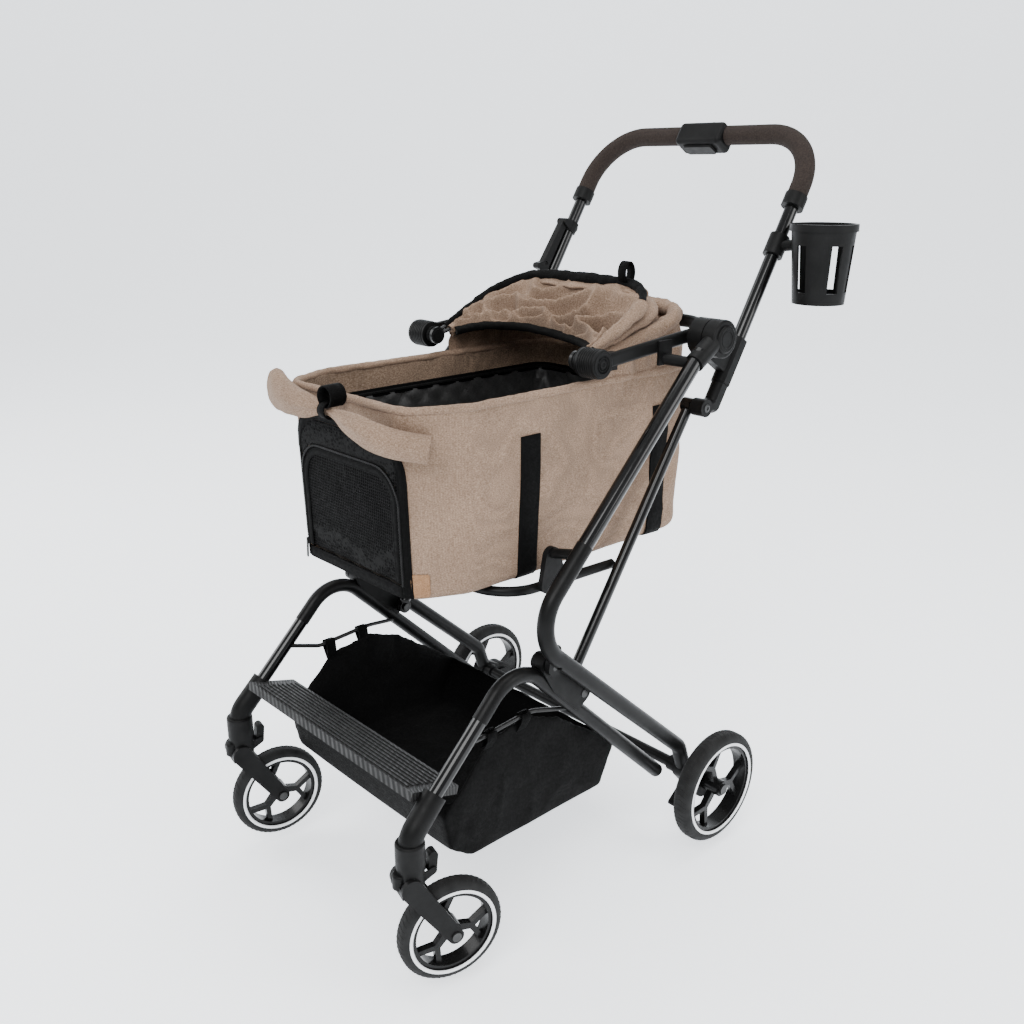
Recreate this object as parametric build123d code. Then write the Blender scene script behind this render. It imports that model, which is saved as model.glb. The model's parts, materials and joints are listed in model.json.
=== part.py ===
from build123d import *
import math
import os

# Pet stroller. Millimetres, +Z up, front = -Y, origin on the floor on the centre plane,
# between the caster stems (y = -266) and the rear axle (y = +290).

# ---- driving dimensions ----
FRONT_WHEEL_R = 73.0
FRONT_WHEEL_W = 27.0
REAR_WHEEL_R = 90.0
REAR_WHEEL_W = 30.0
FRONT_RIM_R = 58.0
REAR_RIM_R = 72.0
REAR_AXLE_Y = 290.0
REAR_WHEEL_X = 277.0

X_LINK = 194.0          # scissor links, innermost layer
X_FRONT = 214.0         # front frame tubes
X_HANDLE = 216.0        # handle tubes
X_REAR = 240.0          # push tubes and rear legs, outermost layer

TUBE_FRONT_R = 10.0
TUBE_REAR_R = 11.0
TUBE_LINK_R = 8.0
TUBE_HANDLE_R = 10.0
WALL = 1.8

STEM_Y = -266.0         # caster stem axis
STEM_X = 216.0
SWIVEL_TRAIL = 52.0
FRONT_FOLD = (-34.0, 392.0)     # front frame hinge on the rear legs (y, z)
LINK_LOW = (36.0, 325.0)        # link pin on the saddle
HANDLE_FOLD = (281.0, 797.0)    # handle hinge on the push tubes
LINK_HIGH = (280.0, 695.0)      # link pin on the handle elbow
HUB_R = 27.0
CANOPY_HUB = (87.0, 778.0)
CANOPY_HUB_X = (146.0, 199.0)

SEAT_X = 190.0
SEAT_REAR_Y = 352.0
SEAT_BAR_H = 20.0
SEAT_BAR_T = 10.0

BAG_FLOOR_Z = 492.0
BAG_RIM_Z = 748.0
BAG_WALL = 6.0
BAG_FRONT_Y = -184.0
BAG_REAR_Y = 322.0
DOOR_HALF_W = 112.0
DOOR_Z = (512.0, 668.0)

HANDLE_SLOPE = 58.3     # degrees above level
GRIP_EXIT = (472.0, 968.0)
GRIP_R = 15.0
CUP_AT = (290.0, 445.0, 893.0)
RUN_GAP = 0.05          # radial clearance of running fits
SADDLE_PIN_R = 4.0
CASTER_TURN_RIGHT = -15.0       # degrees the casters are swivelled at rest
CASTER_TURN_LEFT = -10.0
BOW_FRONT = (26.0, 195.0, 158.0)    # tilt in degrees, reach, half width
BOW_MIDDLE = (16.0, 214.0, 150.0)
BOW_WIRE_R = 3.0
BOW_CORNER = 0.55       # corner radius as a share of the half width
CLEAR = 0.5             # air between soft and moving neighbours


# ---- helpers ----
def side_point(x, yz):
    return Vector(x, yz[0], yz[1])


def rod(x0, x1, yz, r):
    """Solid cylinder along X from x0 to x1 at (y, z)."""
    return Pos(min(x0, x1), yz[0], yz[1]) * Rot(0, 90, 0) * Cylinder(
        r, abs(x1 - x0), align=(Align.CENTER, Align.CENTER, Align.MIN))


def bar(p, q, r):
    """Solid cylinder from point p to point q."""
    p = Vector(p)
    q = Vector(q)
    plane = Plane(origin=p, z_dir=(q - p))
    return plane * Cylinder(r, (q - p).length, align=(Align.CENTER, Align.CENTER, Align.MIN))


def tube(points, radii, r, wall=WALL):
    """Round tube along straight runs joined by tangent arcs; wall 0 is solid."""
    pts = [Vector(p) for p in points]
    path = FilletPolyline(*pts, radius=radii) if len(pts) > 2 else Line(*pts)
    ring = Circle(r) - Circle(r - wall) if wall else Circle(r)
    section = Plane(origin=path @ 0, z_dir=path % 0) * ring
    return sweep(section, path=path)


def plate(x0, x1, circles):
    """Flat plate along X: the hull of circles given as (y, z, r)."""
    discs = Sketch() + [Pos(y, z) * Circle(r) for y, z, r in circles]
    outline = make_hull(discs.edges())
    flat = Plane(origin=(x0, 0, 0), x_dir=(0, 1, 0), z_dir=(1, 0, 0)) * outline
    return extrude(flat, x1 - x0)


def block(x0, x1, y0, y1, z0, z1):
    return Pos(x0, y0, z0) * Box(x1 - x0, y1 - y0, z1 - z0,
                                 align=(Align.MIN, Align.MIN, Align.MIN))


def side_extrude(x0, x1, outline):
    """Extrude a closed (y, z) outline from x0 to x1."""
    flat = Plane(origin=(x0, 0, 0), x_dir=(0, 1, 0), z_dir=(1, 0, 0)) * make_face(outline)
    return extrude(flat, x1 - x0)


def left(shape):
    return mirror(shape, about=Plane.YZ)


def both(shape):
    return [shape, left(shape)]


def group(*shapes):
    """Separate solids kept together in one node."""
    solids = []
    for shape in shapes:
        for item in shape if isinstance(shape, list) else [shape]:
            solids += item.solids()
    return Compound(children=solids)


def polar(yz, angle, distance):
    a = math.radians(angle)
    return (yz[0] + distance * math.cos(a), yz[1] + distance * math.sin(a))


# ---- rear frame (the fixed body) ----
LEG_R = TUBE_REAR_R + 0.8
LEG_BENDS = [64.0, 26.0]
PUSH_TOP = (241.0, 783.0)
PUSH_LOW = (16.0, 553.0)
PUSH_SLOPE = 45.7
BEND = (-83.0, 452.0)
LEG_KNEE = (240.0, 165.0)
LEG_FOOT = (256.0, 118.0)
BRAKE_PIN = (REAR_AXLE_Y - 33.0, REAR_WHEEL_R - 12.0)


def leg_points():
    return [side_point(X_REAR, p) for p in (PUSH_LOW, BEND, LEG_KNEE, LEG_FOOT)]


def push_tube():
    """Upper tube, glossy, from the fold joint down to the bent rear leg."""
    return tube([side_point(X_REAR, PUSH_TOP), side_point(X_REAR, PUSH_LOW)], [], TUBE_REAR_R)


def rear_leg():
    """Bent lower tube with the front hinge lug, ending at the axle housing."""
    leg = tube(leg_points(), LEG_BENDS, LEG_R, WALL)
    core = tube(leg_points(), LEG_BENDS, TUBE_REAR_R, 0)
    y, z = FRONT_FOLD
    lug = plate(X_REAR - 9.5, X_REAR - 1, [(y, z, 12), (y + 2, z + 24, 9)])
    return leg + (lug - core) - rod(X_REAR - 13, X_REAR + 13, FRONT_FOLD, SADDLE_PIN_R + RUN_GAP)


def axle_housing():
    """Moulded foot that takes the leg, the cross tube and the stub axle."""
    x0, x1 = X_REAR - 10, REAR_WHEEL_X - REAR_WHEEL_W / 2 - 2
    drum = rod(x0, x1, (REAR_AXLE_Y, REAR_WHEEL_R), 27)
    web = plate(x0, x1 - 6, [(REAR_AXLE_Y, REAR_WHEEL_R, 22), (LEG_FOOT[0], LEG_FOOT[1], 15.5)])
    cap = rod(x0 - 4, x0, (REAR_AXLE_Y, REAR_WHEEL_R), 20)
    sleeve = rod(x0 - 16, x0, LEG_FOOT, 12.5)
    ear = plate(X_REAR + 10.5, X_REAR + 14, [(*BRAKE_PIN, 6), (*polar(BRAKE_PIN, 20, 14), 6)])
    body = drum + web + cap + sleeve + ear + rod(X_REAR - 9, X_REAR + 12, BRAKE_PIN, 3)
    body -= rod(x0 - 30, X_REAR - 12, LEG_FOOT, 9)
    body -= tube(leg_points(), LEG_BENDS, LEG_R, 0)
    body -= rod(x0 - 20, x1 + 20, (REAR_AXLE_Y, REAR_WHEEL_R), 5)
    return body


def rear_crossbar():
    """Cross tube between the two axle housings."""
    x = X_REAR - 12
    return tube([(-x, LEG_FOOT[0], LEG_FOOT[1]), (x, LEG_FOOT[0], LEG_FOOT[1])], [], 9)


def rear_axle():
    """Stub axle with its head outside the wheel."""
    at = (REAR_AXLE_Y, REAR_WHEEL_R)
    x1 = REAR_WHEEL_X + REAR_WHEEL_W / 2
    pin = rod(X_REAR - 14, x1 + 1, at, 5)
    washer = rod(REAR_WHEEL_X - REAR_WHEEL_W / 2 - 1.5, REAR_WHEEL_X - REAR_WHEEL_W / 2 - 0.5, at, 8)
    return pin + washer + rod(x1 + 1, x1 + 4, at, 8)


def hub_knuckle():
    """Outer half of the fold joint on top of the push tube, with the arm to the seat hoop."""
    x0, x1 = X_REAR - 10.5, X_REAR + 11
    y, z = HANDLE_FOLD
    low = polar(PUSH_TOP, PUSH_SLOPE - 180, 20)
    drum = fillet(rod(x0, x1, HANDLE_FOLD, HUB_R).edges().sort_by(Axis.X)[-1:], 3)
    socket = bar((X_REAR, y - 14, z - 3), (X_REAR, *low), 14)
    body = (drum + socket) & block(x0, x1 + 12, y - 90, y + 80, z - 90, z + 60)
    arm = bar((SEAT_X + 5, y - 66, z - 26), (x0 + 2, *low), 8)
    tab = block(SEAT_X + 5.2, SEAT_X + 9, y - 80, y - 52, z - 34, z)
    body = body + arm + tab
    body -= bar((X_REAR, *PUSH_TOP), (X_REAR, *PUSH_LOW), TUBE_REAR_R)
    body -= rod(x1 - 6, x1 + 2, HANDLE_FOLD, 20)
    return body - rod(x0 - 2, x1 + 2, HANDLE_FOLD, 6)


def hub_cap():
    """Round cap pressed into the joint's outer face."""
    x = X_REAR + 5.2
    cap = rod(x, x + 9, HANDLE_FOLD, 19.6)
    return fillet(cap.edges().sort_by(Axis.X)[-1:], 2.5)


def hub_pivot():
    """Hinge pin through both halves of the fold joint."""
    return rod(X_HANDLE - 15, X_REAR + 5, HANDLE_FOLD, 6) + rod(X_HANDLE - 18, X_HANDLE - 15, HANDLE_FOLD, 10)


def seat_frame():
    """Flat-oval hoop: side bars from the canopy hubs, past the fold joints, round the back."""
    y0, z0 = CANOPY_HUB
    rise = math.tan(math.radians(5.5))
    z1 = z0 + (SEAT_REAR_Y - y0) * rise
    pts = [(SEAT_X, y0 + 20, z0 + 2), (SEAT_X, SEAT_REAR_Y, z1), (-SEAT_X, SEAT_REAR_Y, z1),
           (-SEAT_X, y0 + 20, z0 + 2)]
    path = FilletPolyline(*[Vector(p) for p in pts], radius=70)
    start = Plane(origin=path @ 0, x_dir=(0, 0, 1), z_dir=path % 0)
    section = start * (SlotOverall(SEAT_BAR_H, SEAT_BAR_T) - SlotOverall(SEAT_BAR_H - 3, SEAT_BAR_T - 3))
    return sweep(section, path=path)


def canopy_hub():
    """Drum at the front of each side bar that the canopy bows turn in."""
    x0, x1 = CANOPY_HUB_X
    drum = rod(x0 + 16, x1, CANOPY_HUB, 19.5)
    drum = fillet(drum.edges().sort_by(Axis.X)[-1:], 2)
    boss = rod(x0, x0 + 16, CANOPY_HUB, 9)
    y, z = CANOPY_HUB
    ear = block(SEAT_X - 8, SEAT_X + 4, y + 8, y + 34, z - 11, z + 13) - rod(x0, x1 + 9, CANOPY_HUB, 19)
    tongue = seat_frame()
    return drum + boss + (ear - tongue)


def under_frame():
    """U tube under the carrier, open to the rear."""
    z = BAG_FLOOR_Z - 8
    pts = [(176, 142, z - 6), (176, -74, z), (-176, -74, z), (-176, 142, z - 6)]
    return tube(pts, [62, 62], 7, 1.5)


def under_frame_lug():
    """Tapered plate that hangs the under-frame from the rear leg's bend."""
    z = BAG_FLOOR_Z
    lug = plate(184, 192, [(6, z + 36, 13), (-4, z - 4, 11), (26, z - 8, 9)])
    arm = bar((190, 6, z + 40), (X_REAR - 6, 6, z + 50), 7)
    foot = bar((176, 8, z - 8), (186, 8, z - 8), 6)
    leg = tube(leg_points(), LEG_BENDS, LEG_R, 0)
    return (lug + arm + foot) - leg - under_frame_core()


def under_frame_core():
    z = BAG_FLOOR_Z - 8
    return bar((176, 142, z - 6), (176, -74, z), 7)


# ---- carrier ----
def bag_section(z, grow):
    """Plan outline of the bag at height z, grown outward by grow."""
    t = (z - BAG_FLOOR_Z) / (BAG_RIM_Z - BAG_FLOOR_Z)
    front = 122 + 6 * t + grow
    rear = 156 + 6 * t + grow
    y0 = BAG_FRONT_Y - 6 * t - grow
    y1 = BAG_REAR_Y + grow
    y2 = y0 + 75
    pts = [(-front, y0), (front, y0), (rear, y2), (rear, y1), (-rear, y1), (-rear, y2)]
    shape = make_face(Polyline(*pts, close=True))
    shape = fillet(shape.vertices(), 34 + grow)
    return Pos(0, 0, z) * shape


def carrier_shell():
    """Open-topped fabric bag with a door opening in its front wall."""
    outer = loft([bag_section(BAG_FLOOR_Z, 0), bag_section(BAG_RIM_Z, 0)])
    inner = loft([bag_section(BAG_FLOOR_Z + BAG_WALL, -BAG_WALL), bag_section(BAG_RIM_Z + 1, -BAG_WALL)])
    window = block(-DOOR_HALF_W, DOOR_HALF_W, BAG_FRONT_Y - 40, BAG_FRONT_Y + 30, *DOOR_Z)
    return outer - inner - window


def mesh_door():
    """Zipped mesh panel that closes the front opening, hinged along its lower edge."""
    w = DOOR_HALF_W - CLEAR
    outline = Polyline(*[(BAG_FRONT_Y - 3, DOOR_Z[0] + CLEAR), (BAG_FRONT_Y + 2, DOOR_Z[0] + CLEAR),
                         (BAG_FRONT_Y - 1.5, DOOR_Z[1] - CLEAR), (BAG_FRONT_Y - 6.5, DOOR_Z[1] - CLEAR)],
                       close=True)
    return side_extrude(-w, w, outline)


def base_board():
    """Stiff board laid in the bottom of the bag."""
    z = BAG_FLOOR_Z + BAG_WALL + CLEAR
    return extrude(bag_section(z, -BAG_WALL - 4), 4)


def floor_cushion():
    """Quilted cushion on the board."""
    z = BAG_FLOOR_Z + BAG_WALL + CLEAR + 4.5
    return extrude(bag_section(z, -BAG_WALL - 8), 20)


def front_roll():
    """Rolled front flap lying on the front rim, held by a loop."""
    y = BAG_FRONT_Y - 20
    z = BAG_RIM_Z - 22
    return bar((-138, y, z), (138, y, z), 13)


def canopy_fabric():
    """Canopy folded back: a crescent of gathered fabric over the rear half of the bag."""
    y0, z0 = CANOPY_HUB
    lift = BAG_RIM_Z + 6
    outline = Polyline((y0 + 36, z0 - 4), (150, 788), (222, 809), (285, 826), (326, 812), (330, lift + 6),
                       (310, lift), (y0 + 40, lift), close=True)
    mass = side_extrude(-144, 144, outline)
    plan_out = Pos(0, 160) * RectangleRounded(288, 340, 60)
    plan_in = Pos(0, 60) * RectangleRounded(252, 250, 60)
    ring = extrude(Pos(0, 0, lift - 10) * (plan_out - plan_in), 140)
    return mass & ring


# ---- canopy bows ----
def canopy_bow(angle, reach, half_width):
    """Wire bow in a plane through the hub axis, tilted by angle above the rearward level."""
    y0, z0 = CANOPY_HUB
    tip = polar(CANOPY_HUB, angle, reach)
    root = polar(CANOPY_HUB, angle, 11)
    pts = [(half_width, *root), (half_width, *tip), (-half_width, *tip), (-half_width, *root)]
    wire = tube(pts, [half_width * BOW_CORNER] * 2, BOW_WIRE_R, 0)
    eyes = []
    for side in (1, -1):
        x = side * half_width
        eyes.append(rod(x - 2.6, x + 2.6, (y0, z0), 13))
    cut = rod(-200, 200, (y0, z0), 9 + RUN_GAP)
    return (wire + eyes[0] + eyes[1]) - cut


# ---- front frame ----
ARCH = (-83.0, 410.0)
ARCH_BEND = 58.0
ARCH_R = TUBE_FRONT_R + 0.8
SLEEVE_R = 16.0
LEG_SOCKET = 26.0       # length of the front leg inside the moulded sleeve
FRONT_KNEE = (STEM_Y, 226.0)
SLEEVE_TOP = (-222.0, 270.0)
ARCH_FOOT = (-147.0, 345.0)
LEG_END = (220.0, 118.0)


def front_sleeve():
    """Moulded lower leg that bends down to the caster socket."""
    x = STEM_X
    pts = [(x, STEM_Y, 189), (x, *FRONT_KNEE), (X_FRONT, *SLEEVE_TOP)]
    body = tube(pts, [40.0], SLEEVE_R, 0)
    socket = Pos(x, STEM_Y, 188) * Cylinder(19.5, 34, align=(Align.CENTER, Align.CENTER, Align.MIN))
    body = body + fillet(socket.edges().sort_by(Axis.Z)[-1:], 3)
    body -= Pos(x, STEM_Y, 180) * Cylinder(6 + RUN_GAP, 40, align=(Align.CENTER, Align.CENTER, Align.MIN))
    return body - bar((X_FRONT, *polar(SLEEVE_TOP, 225, LEG_SOCKET)), (X_FRONT, *ARCH_FOOT), TUBE_FRONT_R)


def front_leg():
    """Glossy straight tube between the sleeve and the arch."""
    return tube([(X_FRONT, *polar(SLEEVE_TOP, 225, LEG_SOCKET)), (X_FRONT, *ARCH_FOOT)], [], TUBE_FRONT_R)


def arch_points():
    return [(X_FRONT, *p) for p in (ARCH_FOOT, ARCH, LEG_END)]


def arch_core():
    """The arch leg's outer shape as a solid, to cut its neighbours."""
    return tube(arch_points(), [ARCH_BEND], ARCH_R, 0)


def arch_leg():
    """Bent tube: the arch over the front, then the long leg down to the rear."""
    shell = tube(arch_points(), [ARCH_BEND], ARCH_R)
    plug = bar((X_FRONT, *polar(LEG_END, 136, 4)), (X_FRONT, *LEG_END), TUBE_FRONT_R)
    return shell + plug


def saddle():
    """Moulded bracket on the arch leg that carries the front hinge and the link pin."""
    x0, x1 = X_FRONT - 10, X_FRONT + 13
    on_tube = [(-22, 350, 3), (24, 306, 3)]
    body = plate(x0, x1, [(*FRONT_FOLD, 13), (*LINK_LOW, 12)] + on_tube)
    body = body - arch_core()
    body -= rod(x0 - 1, x1 + 1, LINK_LOW, SADDLE_PIN_R)
    return body - rod(x0 - 1, x1 + 1, FRONT_FOLD, SADDLE_PIN_R)


def footrest():
    """Ribbed step plate between the two front legs."""
    half = X_FRONT - 10.5
    tilt = Pos(0, -214, 262) * Rot(-16, 0, 0)
    step = tilt * Box(2 * half, 78, 12)
    for i in range(9):
        step += tilt * Pos(0, -32 + 8 * i, 6.8) * Box(2 * half - 36, 3.2, 1.8)
    sleeve = front_sleeve()
    return step - sleeve - left(sleeve)


BASKET_SIDE = [(-190, 208), (-178, 150), (-140, 122), (118, 122), (146, 190), (20, 280), (-40, 302), (-110, 290)]
BASKET_HOLLOW = [(-178, 330), (-172, 158), (-136, 128), (114, 128), (138, 188), (60, 330)]
BASKET_WALL = 5.0


def basket():
    """Fabric basket hung between the front frame's legs, open at the top."""
    half = X_FRONT - 26
    outer = side_extrude(-half, half, Polyline(*BASKET_SIDE, close=True))
    inner = side_extrude(-half + BASKET_WALL, half - BASKET_WALL, Polyline(*BASKET_HOLLOW, close=True))
    return outer - inner


def basket_rail():
    """Side wires that hold the basket's top edge, clipped to the legs."""
    x = X_FRONT - 20
    pts = [(X_FRONT - 7, -172, 313), (x, -130, 304), (x, -36, 311), (X_FRONT - 7, 22, 299)]
    return tube(pts, [24, 60], 3.2, 0) - arch_cut()


def arch_cut():
    low = bar((X_FRONT, *polar(SLEEVE_TOP, 225, LEG_SOCKET)), (X_FRONT, *ARCH_FOOT), TUBE_FRONT_R)
    return arch_core() + low


# ---- casters ----
LOCK_PIN = (27.5, 175.0)
LOCK_HALF = 7.0


def caster_place(shape, turn):
    return Pos(STEM_X, STEM_Y, 0) * Rot(0, 0, turn) * shape


def caster_fork():
    """Fork, drawn with its stem on the Z axis and the wheel trailing to +Y."""
    stem = Pos(0, 0, 150) * Cylinder(6, 62, align=(Align.CENTER, Align.CENTER, Align.MIN))
    crown = Pos(0, 0, 160) * Cylinder(18, 27, align=(Align.CENTER, Align.CENTER, Align.MIN))
    nose = Pos(0, -14, 160) * Cylinder(11, 20, align=(Align.CENTER, Align.CENTER, Align.MIN))
    nose = fillet(nose.edges().sort_by(Axis.Z)[-1:], 3)
    half = FRONT_WHEEL_W / 2 + 2.5
    web = block(-half - 5, half + 5, -20, 9, 154, 166)
    arm = plate(half, half + 6, [(-6, 163, 15), (SWIVEL_TRAIL, FRONT_WHEEL_R, 11)])
    web = web - rod(-60, 60, (SWIVEL_TRAIL, FRONT_WHEEL_R), FRONT_WHEEL_R + 5)
    body = stem + crown + nose + web + arm + left(arm)
    ear = plate(LOCK_HALF + 0.5, LOCK_HALF + 2.5, [(*LOCK_PIN, 5), (12, 168, 6)])
    body += ear + left(ear) + rod(-LOCK_HALF - 2, LOCK_HALF + 2, LOCK_PIN, 2.5)
    return body - rod(-60, 60, (SWIVEL_TRAIL, FRONT_WHEEL_R), 4)


def caster_axle():
    half = FRONT_WHEEL_W / 2 + 8.5
    at = (SWIVEL_TRAIL, FRONT_WHEEL_R)
    return rod(-half, half, at, 4) + rod(half, half + 2.5, at, 6.5) + rod(-half - 2.5, -half, at, 6.5)


def swivel_lock():
    """Rocker behind the crown that locks the swivel."""
    y, z = LOCK_PIN
    lever = plate(-LOCK_HALF, LOCK_HALF, [(y, z, 6), (y + 2, z + 20, 6)])
    return lever - rod(-20, 20, LOCK_PIN, 2.5 + RUN_GAP)


def wheel_tyre(r, w, rim_r):
    """Tyre with a rounded crown."""
    tyre = rod(-w / 2, w / 2, (0, 0), r)
    tyre = fillet(tyre.edges().filter_by(GeomType.CIRCLE), w * 0.36)
    return tyre - rod(-w, w, (0, 0), rim_r)


def wheel_rim(r, w, bore):
    """Rim with three forked spokes and a hub."""
    ring = rod(-w / 2 + 3, w / 2 - 3, (0, 0), r) - rod(-w, w, (0, 0), r - 6)
    hub = rod(-w / 2 + 1, w / 2 - 1, (0, 0), 13)
    rim = ring + hub
    for i in range(3):
        spoke = plate(-5, 5, [(0, 9, 5.5), (0, r * 0.52, 4.5)])
        for lean in (-1, 1):
            spoke += plate(-5, 5, [(0, r * 0.52, 4), (lean * r * 0.36, r * 0.86, 3.5)])
        rim += Rot(120 * i + 18, 0, 0) * spoke
    return rim - rod(-w, w, (0, 0), bore + RUN_GAP)


# ---- handle ----
def handle_dir(distance, offset=0.0):
    """Point on the handle tube's line, measured up from the grip exit, offset forward-up."""
    p = polar(GRIP_EXIT, HANDLE_SLOPE, distance)
    return polar(p, HANDLE_SLOPE + 90, offset)


HANDLE_LOW = -286.0
HANDLE_TOP = 124.0
HANDLE_BEND_R = 88.0


def handle_points():
    low = handle_dir(HANDLE_LOW)
    top = handle_dir(HANDLE_TOP)
    return [(X_HANDLE, *low), (X_HANDLE, *top), (-X_HANDLE, *top), (-X_HANDLE, *low)]


def handle_tube():
    """U-shaped handle tube."""
    return tube(handle_points(), [HANDLE_BEND_R] * 2, TUBE_HANDLE_R)


def grip_foam():
    """Foam sleeve over the U, interrupted by the release housing."""
    start = handle_dir(20)
    pts = handle_points()
    path = [(X_HANDLE, *start), pts[1], (46, *handle_dir(HANDLE_TOP))]
    sleeve = tube(path, [HANDLE_BEND_R], GRIP_R, GRIP_R - TUBE_HANDLE_R)
    return group(both(sleeve))


def grip_collars():
    """Collars below the foam."""
    collar = bar((X_HANDLE, *handle_dir(0)), (X_HANDLE, *handle_dir(19.8)), 17)
    collar -= bar((X_HANDLE, *handle_dir(-5)), (X_HANDLE, *handle_dir(25)), TUBE_HANDLE_R)
    return group(both(collar))


def housing_frame():
    """Plane on the middle of the handle: x across, y along the tube direction, z forward-up."""
    top = handle_dir(HANDLE_TOP)
    a = math.radians(HANDLE_SLOPE)
    return Plane(origin=(0, *top), x_dir=(1, 0, 0), z_dir=(0, math.cos(a), math.sin(a)))


def release_housing():
    """Housing at the middle of the handle with a slot for the trigger."""
    body = Pos(0, 0, -4) * Box(90, 40, 38)
    body = fillet(body.edges(), 8)
    body -= Pos(0, 0, -16) * Box(58, 22, 20)
    body -= Pos(12, 0, 8) * Cylinder(8.3, 20)
    body = housing_frame() * body
    top = handle_dir(HANDLE_TOP)
    return body - rod(-60, 60, top, TUBE_HANDLE_R)


def release_button():
    """Safety button on top of the housing."""
    button = Pos(12, 0, 13.3) * Cylinder(8, 6.5, align=(Align.CENTER, Align.CENTER, Align.MIN))
    return housing_frame() * button


def squeeze_trigger():
    """Bar pulled up into the housing to let the frame fold."""
    bar_body = Pos(0, 0, -22) * Box(57, 21, 11)
    bar_body = fillet(bar_body.edges().filter_by(Axis.Z), 4)
    return housing_frame() * bar_body


def fold_joint():
    """Inner half of the fold joint with the sleeve that clamps the handle tube."""
    x0, x1 = X_HANDLE - 12, X_REAR - 12
    y, z = HANDLE_FOLD
    disc = rod(x0, x1, HANDLE_FOLD, HUB_R)
    low = handle_dir(HANDLE_LOW)
    top = handle_dir(-214)
    sleeve = bar((X_HANDLE, *low), (X_HANDLE, *top), 14)
    sleeve = sleeve & block(x0 - 4, x1, y - 100, y + 200, z - 200, z + 200)
    web = plate(X_HANDLE - 8, X_HANDLE + 8, [(y, z, 24), (*handle_dir(-262), 10)])
    web += plate(X_HANDLE - 8, X_HANDLE + 8, [(y, z, 24), (*handle_dir(-224), 6)])
    body = disc + sleeve + web
    body -= bar((X_HANDLE, *handle_dir(-300)), (X_HANDLE, *handle_dir(-200)), TUBE_HANDLE_R)
    return body - rod(x0 - 2, x1 + 2, HANDLE_FOLD, 6 + RUN_GAP)


def handle_elbow():
    """Bent foot of the handle that carries the upper link pin."""
    low = handle_dir(HANDLE_LOW - 0.3)
    knee = handle_dir(HANDLE_LOW - 34)
    y, z = LINK_HIGH
    x1 = X_HANDLE + 10.5
    elbow = bar((X_HANDLE, *low), (X_HANDLE, *knee), 12.5)
    elbow += Pos(X_HANDLE, *knee) * Sphere(12.5)
    elbow += bar((X_HANDLE, *knee), (X_HANDLE, y, z), 11.5)
    elbow = elbow & block(X_HANDLE - 11, x1, y - 60, y + 120, z - 60, z + 120)
    elbow += rod(X_HANDLE - 11, x1, LINK_HIGH, 13)
    return elbow


# ---- scissor link ----
def link_bar():
    """Straight link, pinned to the saddle at its foot."""
    angle = math.degrees(math.atan2(LINK_HIGH[1] - LINK_LOW[1], LINK_HIGH[0] - LINK_LOW[0]))
    low = polar(LINK_LOW, angle, 9)
    high = polar(LINK_HIGH, angle, -9)
    body = tube([(X_LINK, *low), (X_LINK, *high)], [], TUBE_LINK_R, 1.6)
    foot = rod(X_LINK - 8, X_LINK + 8, LINK_LOW, 11)
    head = rod(X_LINK - 8, X_LINK + 8, LINK_HIGH, 11)
    body = body + (foot + head)
    return body - rod(X_LINK - 9, X_LINK + 9, LINK_LOW, 4 + RUN_GAP)


# ---- accessories ----
CUP_H = 112.0
CUP_LOW_R = 37.0
CUP_TOP_R = 46.0
CUP_RIM_R = 48.0
CUP_WALL = 3.0
CUP_GAP = 0.2
CUP_WINDOWS = (20, 100, 180, 260, 330)      # degrees round the cup
CUP_CLAMP_AT = -63.0    # along the handle tube


def cup_holder():
    """Tapered cup holder with tall windows, closed by a ring at the bottom."""
    x, y, z = CUP_AT
    outer = Pos(x, y, z) * Cone(CUP_LOW_R, CUP_TOP_R, CUP_H)
    inner = Pos(x, y, z + 4) * Cone(CUP_LOW_R - CUP_WALL, CUP_TOP_R - CUP_WALL, CUP_H)
    rim = Pos(x, y, z + CUP_H / 2 - 5) * (Cylinder(CUP_RIM_R, 10) - Cylinder(CUP_TOP_R - CUP_WALL - 0.5, 12))
    cup = (outer - inner) + rim
    for angle in CUP_WINDOWS:
        slot = Pos(x, y, z - 6) * Rot(0, 0, angle) * Pos(40, 0, 0) * Box(30, 16, 66)
        cup -= slot
    return cup


def cup_clamp():
    """Bracket from the cup to the handle tube."""
    x, y, z = CUP_AT
    low, high = handle_dir(CUP_CLAMP_AT - 16), handle_dir(CUP_CLAMP_AT + 16)
    collar = bar((X_HANDLE, *low), (X_HANDLE, *high), 15)
    arm = bar((X_HANDLE + 6, *handle_dir(CUP_CLAMP_AT)), (x - 30, y, z + 26), 8)
    clamp = collar + arm
    clamp -= bar((X_HANDLE, *handle_dir(CUP_CLAMP_AT - 30)), (X_HANDLE, *handle_dir(CUP_CLAMP_AT + 30)), TUBE_HANDLE_R)
    clamp -= Pos(x, y, z) * Cone(CUP_LOW_R + CUP_GAP, CUP_TOP_R + CUP_GAP, CUP_H)
    return clamp - Pos(x, y, z + CUP_H / 2 - 5) * Cylinder(CUP_RIM_R + 0.3, 12)


HOOK_TOP = -52.0
HOOK_LOW = -140.0
HOOK_OFF = 20.0


def fold_hook():
    """Swinging hook on the left handle tube that holds the folded frame shut."""
    a = handle_dir(HOOK_TOP, HOOK_OFF)
    b = handle_dir(HOOK_LOW, HOOK_OFF + 3)
    tip = handle_dir(HOOK_LOW - 6, HOOK_OFF + 16)
    hook = plate(-X_HANDLE - 6, -X_HANDLE + 6, [(*a, 6), (*b, 8)])
    hook += plate(-X_HANDLE - 6, -X_HANDLE + 6, [(*b, 9), (*tip, 5)])
    hook -= rod(-X_HANDLE - 8, -X_HANDLE + 8, handle_dir(HOOK_LOW + 6, HOOK_OFF + 4), 3.5)
    return hook - rod(-X_HANDLE - 8, -X_HANDLE + 8, a, 3 + RUN_GAP)


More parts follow.
